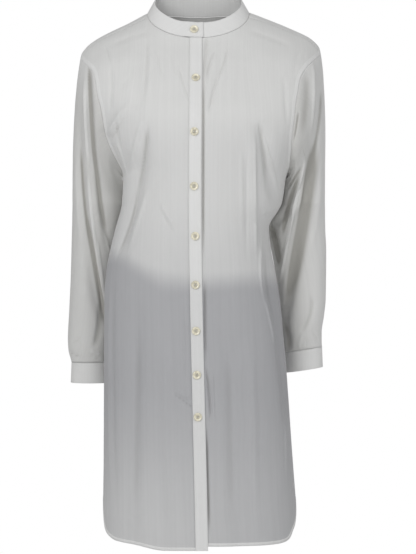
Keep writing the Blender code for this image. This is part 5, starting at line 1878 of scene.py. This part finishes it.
class SHIRTDRESS_OT_stage(Maker, bpy.types.Operator):
    """Floor, soft studio light and camera"""

    bl_idname = "shirt_dress.stage"
    bl_label = "Stage"

    def execute(self, context):
        stage = settings().stage
        bm = bmesh.new()
        bmesh.ops.create_circle(bm, cap_ends=True, radius=2.6, segments=96)
        bmesh.ops.translate(bm, verts=bm.verts, vec=(0, 0, stage.floor_z))
        finish = Finish("floor_paint", 0.6)
        grain = finish.stretched_noise(finish.place(), 3.0, 3.0)
        colour = tuple(stage.floor_colour)
        finish.put("Base Color", finish.mix(grain, tuple(0.97 * c for c in colour), colour))
        floor = add_piece("floor", made_mesh(bm, "floor"), finish.material, body=None)
        floor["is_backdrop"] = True

        world = bpy.data.worlds.new("studio")
        context.scene.world = world
        world.use_nodes = True
        tree = world.node_tree
        seen, light = tree.nodes["Background"], tree.nodes.new("ShaderNodeBackground")
        seen.inputs["Color"].default_value = (1, 1, 1, 1)
        light.inputs["Color"].default_value = (0.985, 0.99, 1.0, 1)
        light.inputs["Strength"].default_value = stage.ambient
        path, pick = tree.nodes.new("ShaderNodeLightPath"), tree.nodes.new("ShaderNodeMixShader")
        tree.links.new(path.outputs["Is Camera Ray"], pick.inputs[0])
        tree.links.new(light.outputs[0], pick.inputs[1])
        tree.links.new(seen.outputs[0], pick.inputs[2])
        tree.links.new(pick.outputs[0], tree.nodes["World Output"].inputs[0])
        context.scene.view_settings.view_transform = "Standard"

        aim = Vector((0, 0, -0.48))
        for name, place, size, power in (
            ("key", (-1.4, -2.7, 0.7), 1.6, stage.key),
            ("fill", (2.0, -2.2, 0.3), 2.0, stage.fill),
            ("rear", (0.8, 2.9, 0.7), 2.0, stage.rear),
        ):
            lamp = bpy.data.lights.new(name, "AREA")
            lamp.shape, lamp.size, lamp.energy = "DISK", size, power
            obj = linked(name, lamp)
            obj.location = place
            obj.rotation_euler = (aim - Vector(place)).to_track_quat("-Z", "Y").to_euler()

        camera = bpy.data.cameras.new("camera")
        camera.sensor_width, camera.lens = CAMERA_SENSOR, CAMERA_LENS
        obj = linked("camera", camera)
        obj.location = CAMERA_PLACE
        obj.rotation_euler = (math.pi / 2, 0, 0)
        context.scene.camera = obj
        return {"FINISHED"}


class SHIRTDRESS_OT_fronts(Maker, bpy.types.Operator):
    """Both fronts, with their turned hems"""

    bl_idname = "shirt_dress.fronts"
    bl_label = "Fronts"

    def execute(self, context):
        cut, sewing = cut_pieces(), settings().sewing
        for name in SIDE_NAME.values():
            node = f"front_{name}"
            grid = cut[node]
            armhole = [row[-1][0] for row in grid[: ARMHOLE_ROWS_FRONT + 1]]
            welts = [(armhole, sewing.felled), (edge_line(grid, "bottom"), sewing.hem_depth)]
            grooves = [edge_line(grid, "top"), edge_line(grid, "last")]
            fine = finer_edge(finer_edge(grid, "top"), "last")
            piece = panel(node, fine, welts, grooves, grain=0.0)
            declare(piece, node, [hem_strip(node)])
        return {"FINISHED"}


class SHIRTDRESS_OT_back(Maker, bpy.types.Operator):
    """The back below the yoke, with its turned hem"""

    bl_idname = "shirt_dress.back"
    bl_label = "Back"

    def execute(self, context):
        grid, sewing = cut_pieces()["back"], settings().sewing
        sides = [edge_line(grid, "first"), edge_line(grid, "last")]
        welts = [(line, sewing.felled) for line in sides]
        welts.append((edge_line(grid, "bottom"), sewing.hem_depth))
        fine = finer_edge(finer_edge(finer_edge(grid, "top"), "first"), "last")
        piece = panel("back", fine, welts, sides + [edge_line(grid, "top")])
        declare(piece, "back", [hem_strip("back")])
        return {"FINISHED"}


class SHIRTDRESS_OT_yoke(Maker, bpy.types.Operator):
    """The yoke over the shoulders"""

    bl_idname = "shirt_dress.yoke"
    bl_label = "Yoke"

    def execute(self, context):
        grid = fine = cut_pieces()["yoke"]
        for edge in EDGES:
            fine = finer_edge(fine, edge)
        piece = panel("yoke", fine, [], [edge_line(grid, edge) for edge in EDGES])
        declare(piece, "yoke")
        return {"FINISHED"}


class SHIRTDRESS_OT_sleeves(Maker, bpy.types.Operator):
    """Both sleeves, from the armhole to the cuff"""

    bl_idname = "shirt_dress.sleeves"
    bl_label = "Sleeves"

    def execute(self, context):
        cut, sewing = cut_pieces(), settings().sewing
        for name in SIDE_NAME.values():
            node = f"sleeve_{name}"
            grid = finer_edge(cut[node], "top", (0.25, 0.5, 0.75))
            under = [row[2 * ARMHOLE_ROWS_FRONT][0] for row in grid]
            welts, grooves = [(under, sewing.felled / 2)], [cut[f"armhole_{name}"], under]
            piece = panel(node, grid, welts, grooves, "sleeve_cotton", closed=True)
            declare(piece, node)
        return {"FINISHED"}


def banded(node, grid, surface, thickness=None):
    """A folded piece with rounded edges, as thick as the doubled cloth unless another is given."""
    pieces[node] = grid
    obj = add_piece(f"{node}_cloth", grid_mesh(node, grid), material(surface))
    thicken(obj, thickness or settings().cloth.doubled_thickness, fold=BAND_FOLD)
    declare(obj, node)


class SHIRTDRESS_OT_collar(Maker, bpy.types.Operator):
    """The band collar"""

    bl_idname = "shirt_dress.collar"
    bl_label = "Collar"

    def execute(self, context):
        banded("collar", collar_grid(), "collar_cotton")
        return {"FINISHED"}


class SHIRTDRESS_OT_cuffs(Maker, bpy.types.Operator):
    """Both cuffs"""

    bl_idname = "shirt_dress.cuffs"
    bl_label = "Cuffs"

    def execute(self, context):
        for side, name in SIDE_NAME.items():
            banded(f"cuff_{name}", cuff_grid(side), "cuff_cotton")
        return {"FINISHED"}


class SHIRTDRESS_OT_bands(Maker, bpy.types.Operator):
    """The buttonhole band and the button band beneath it"""

    bl_idname = "shirt_dress.bands"
    bl_label = "Front bands"

    def execute(self, context):
        banded("band_upper", band_grid(True), "band_cotton")
        banded("band_under", band_grid(False), "band_cotton", UNDER_BAND)
        return {"FINISHED"}


class SHIRTDRESS_OT_sewing(Maker, bpy.types.Operator):
    """Every row of stitches that shows"""

    bl_idname = "shirt_dress.sewing"
    bl_label = "Stitching"

    def execute(self, context):
        sewing, cut = settings().sewing, cut_pieces()
        at_hem, at_seam = sewing.hem_depth - EDGE_STITCH, sewing.felled - EDGE_STITCH

        def sew(name, *lines):
            places = [s for line in lines for s in stitch_places(line, sewing.stitch, sewing.gap)]
            add_stitches(f"stitches_{name}", places, sewing.thread)

        def sew_round(name):
            sew(name, *[line_beside(pieces[name], edge, EDGE_STITCH) for edge in EDGES])

        for name in SIDE_NAME.values():
            front, sleeve = cut[f"front_{name}_shaped"], cut[f"sleeve_{name}_shaped"]
            armhole = line_beside(front, "last", at_seam, last=ARMHOLE_ROWS_FRONT + 2)
            sew(f"front_{name}", line_beside(front, "bottom", at_hem), armhole)
            sew(f"sleeve_{name}", [row[2 * ARMHOLE_ROWS_FRONT] for row in sleeve[2:]])
            sew_round(f"cuff_{name}")
        back, yoke = cut["back_shaped"], cut["yoke_shaped"]
        sides = [line_beside(back, edge, at_seam) for edge in ("first", "last")]
        sew("back", line_beside(back, "bottom", at_hem), *sides)
        shoulders = [
            line_beside(yoke, "top", EDGE_STITCH, last=SHOULDER_COLUMNS),
            line_beside(yoke, "top", EDGE_STITCH, first=YOKE_COLUMNS - SHOULDER_COLUMNS + 4),
        ]
        sew("yoke", line_beside(yoke, "bottom", EDGE_STITCH), *shoulders)
        sew_round("collar")
        sew_round("band_upper")
        return {"FINISHED"}


def button_shape(mesh_name):
    """A round button, dished, with a rounded rim and four holes, standing on z = 0."""
    buttons = settings().buttons
    radius, height = buttons.radius, BUTTON_HEIGHT
    bm = bmesh.new()
    verts = [bm.verts.new((r * radius, 0.0, z * height)) for r, z in BUTTON_PROFILE]
    for a, b in zip(verts, verts[1:]):
        bm.edges.new((a, b))
    bmesh.ops.spin(
        bm, geom=bm.verts[:] + bm.edges[:], cent=(0, 0, 0), axis=(0, 0, 1),
        angle=2 * math.pi, steps=buttons.sides, use_merge=True,
    )
    bmesh.ops.remove_doubles(bm, verts=bm.verts, dist=1e-6)
    bmesh.ops.recalc_face_normals(bm, faces=bm.faces[:])
    blank = linked(mesh_name, made_mesh(bm, mesh_name))
    drills = []
    for sx, sy in BUTTON_CORNERS:
        bm = bmesh.new()
        bmesh.ops.create_cone(
            bm, cap_ends=True, segments=14, radius1=BUTTON_HOLE_RADIUS,
            radius2=BUTTON_HOLE_RADIUS, depth=height * 3,
        )
        middle = (sx * BUTTON_HOLE_SPREAD, sy * BUTTON_HOLE_SPREAD, 0)
        bmesh.ops.translate(bm, verts=bm.verts, vec=middle)
        drills.append(linked("drill", made_mesh(bm, "drill")))
        cut = blank.modifiers.new("hole", "BOOLEAN")
        cut.operation, cut.solver, cut.object = "DIFFERENCE", "EXACT", drills[-1]
    bpy.context.view_layer.update()
    mesh = bpy.data.meshes.new_from_object(blank.evaluated_get(bpy.context.evaluated_depsgraph_get()))
    for obj in [blank, *drills]:
        bpy.data.objects.remove(obj)
    rim = mesh.attributes.new("rim", "FLOAT", "POINT")
    for vert in mesh.vertices:
        rim.data[vert.index].value = min(1.0, math.hypot(vert.co.x, vert.co.y) / (0.8 * radius))
    mesh.shade_smooth()
    mesh.set_sharp_from_angle(angle=math.radians(42))
    return mesh


def button_places():
    """Each button's name, place on the face and outward direction, and if its buttonhole is level."""
    low, high = collar_low(COLLAR_BUTTON_ANGLE), collar_high(COLLAR_BUTTON_ANGLE)
    ahead = collar_low(COLLAR_BUTTON_ANGLE + 0.5) - collar_low(COLLAR_BUTTON_ANGLE - 0.5)
    out = ahead.cross(high - low).normalized()
    yield "collar", (low + high) / 2 + out * collar_lift(COLLAR_BUTTON_ANGLE), out, True
    for number, place in enumerate(FRONT_BUTTONS, start=1):
        point, out = skin_at(BAND_X(place.z) + place.aside, place.z, FRONT)
        yield f"front_{number}", point + out * (LAP_GAP + DOUBLED), out, False
    for side, name in SIDE_NAME.items():
        point, out = cuff_button_place(side)
        yield f"cuff_{name}", point, out, True


def button_turn(point, out):
    up = Vector((0, 0, 1)) - out * out.z
    across = up.cross(out).normalized()
    turn = Matrix((across, out.cross(across), out)).transposed().to_4x4()
    return Matrix.Translation(point) @ turn


class SHIRTDRESS_OT_buttons(Maker, bpy.types.Operator):
    """Eleven shell buttons, sewn on with thread"""

    bl_idname = "shirt_dress.buttons"
    bl_label = "Buttons"

    def execute(self, context):
        shape = button_shape("button_shape")
        spread, height = BUTTON_HOLE_SPREAD, BUTTON_HEIGHT * BUTTON_DISH
        strands = []
        for name, point, out, _ in button_places():
            mesh = shape.copy()
            place = button_turn(point + out * LAP_GAP, out)
            mesh.transform(place)
            piece = add_piece(f"button_{name}_shell", mesh, material("shell"))
            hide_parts(f"button_{name}")
            for sx in (-1, 1):
                for k in (-1, 0, 1):
                    x = sx * spread + k * STRAND_STEP
                    ends = [place @ Vector((x, y, height + STRAND_RISE)) for y in (-spread, spread)]
                    strands.append((*ends, out))
                for sy in (-1, 1):
                    a = place @ Vector((sx * spread, sy * spread, height))
                    b = place @ Vector((sx * spread, sy * spread, -LAP_GAP))
                    for k in (-1, 0, 1):
                        shift = place.to_3x3() @ Vector((k * STRAND_DROP, 0, 0))
                        strands.append((a + shift, b + shift, place.to_3x3() @ Vector((0, 1, 0))))
        add_stitches("button_thread", strands, settings().sewing.thread * BUTTON_THREAD, sunk=0.5)
        return {"FINISHED"}


class SHIRTDRESS_OT_buttonholes(Maker, bpy.types.Operator):
    """A worked buttonhole under each button"""

    bl_idname = "shirt_dress.buttonholes"
    bl_label = "Buttonholes"

    def execute(self, context):
        wide, straight = BUTTONHOLE_WIDE, BUTTONHOLE_HALF - BUTTONHOLE_WIDE
        steps, rays = round(2 * straight / BUTTONHOLE_PITCH), 6
        places = []
        for _, point, out, level in button_places():
            turn = button_turn(point, out)
            if level:
                turn = turn @ Matrix.Rotation(math.pi / 2, 4, "Z")
            for side in (-1, 1):
                for k in range(steps + 1):
                    y = -straight + 2 * straight * k / steps
                    ends = [turn @ Vector((side * x, y, 0)) for x in (BUTTONHOLE_SLIT, wide)]
                    places.append((*ends, out))
                middle = Vector((0, side * straight, 0))
                for k in range(rays + 1):
                    angle = math.pi * k / rays
                    ray = Vector((math.cos(angle), side * math.sin(angle), 0))
                    ends = [turn @ (middle + ray * r) for r in (BUTTONHOLE_EYE, wide)]
                    places.append((*ends, out))
        add_stitches("buttonholes", places, settings().sewing.thread, sunk=0.3)
        return {"FINISHED"}


OPERATORS = (
    SHIRTDRESS_OT_stage,
    SHIRTDRESS_OT_fronts,
    SHIRTDRESS_OT_back,
    SHIRTDRESS_OT_yoke,
    SHIRTDRESS_OT_sleeves,
    SHIRTDRESS_OT_collar,
    SHIRTDRESS_OT_cuffs,
    SHIRTDRESS_OT_bands,
    SHIRTDRESS_OT_sewing,
    SHIRTDRESS_OT_buttonholes,
    SHIRTDRESS_OT_buttons,
)


class SHIRTDRESS_PT_panel(bpy.types.Panel):
    """Sizes and colours of the dress, and a button for each group of pieces"""

    bl_label = "Shirt Dress"
    bl_idname = "SHIRTDRESS_PT_panel"
    bl_space_type = "VIEW_3D"
    bl_region_type = "UI"
    bl_category = "Shirt Dress"

    def draw(self, context):
        dress = context.scene.shirt_dress
        for title, group in (
            ("Cloth", dress.cloth),
            ("Sewing", dress.sewing),
            ("Buttons", dress.buttons),
            ("Stage", dress.stage),
        ):
            box = self.layout.box()
            box.label(text=title)
            for name in type(group).__annotations__:
                box.prop(group, name)
        for operator in OPERATORS:
            self.layout.operator(operator.bl_idname)


GROUPS = (ClothSettings, SewingSettings, ButtonSettings, StageSettings, DressSettings)


def register():
    for cls in (*GROUPS, *OPERATORS, SHIRTDRESS_PT_panel):
        bpy.utils.register_class(cls)
    bpy.types.Scene.shirt_dress = PointerProperty(type=DressSettings)


def unregister():
    del bpy.types.Scene.shirt_dress
    for cls in reversed((*GROUPS, *OPERATORS, SHIRTDRESS_PT_panel)):
        bpy.utils.unregister_class(cls)


def main():
    register()
    for operator in OPERATORS:
        group, name = operator.bl_idname.split(".")
        getattr(getattr(bpy.ops, group), name)()
    boxes = {"cad": CAD_BOX, "visual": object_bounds()}
    {name: [list(corner) for corner in box] for name, box in boxes.items()}


if __name__ == "__main__":
    main()
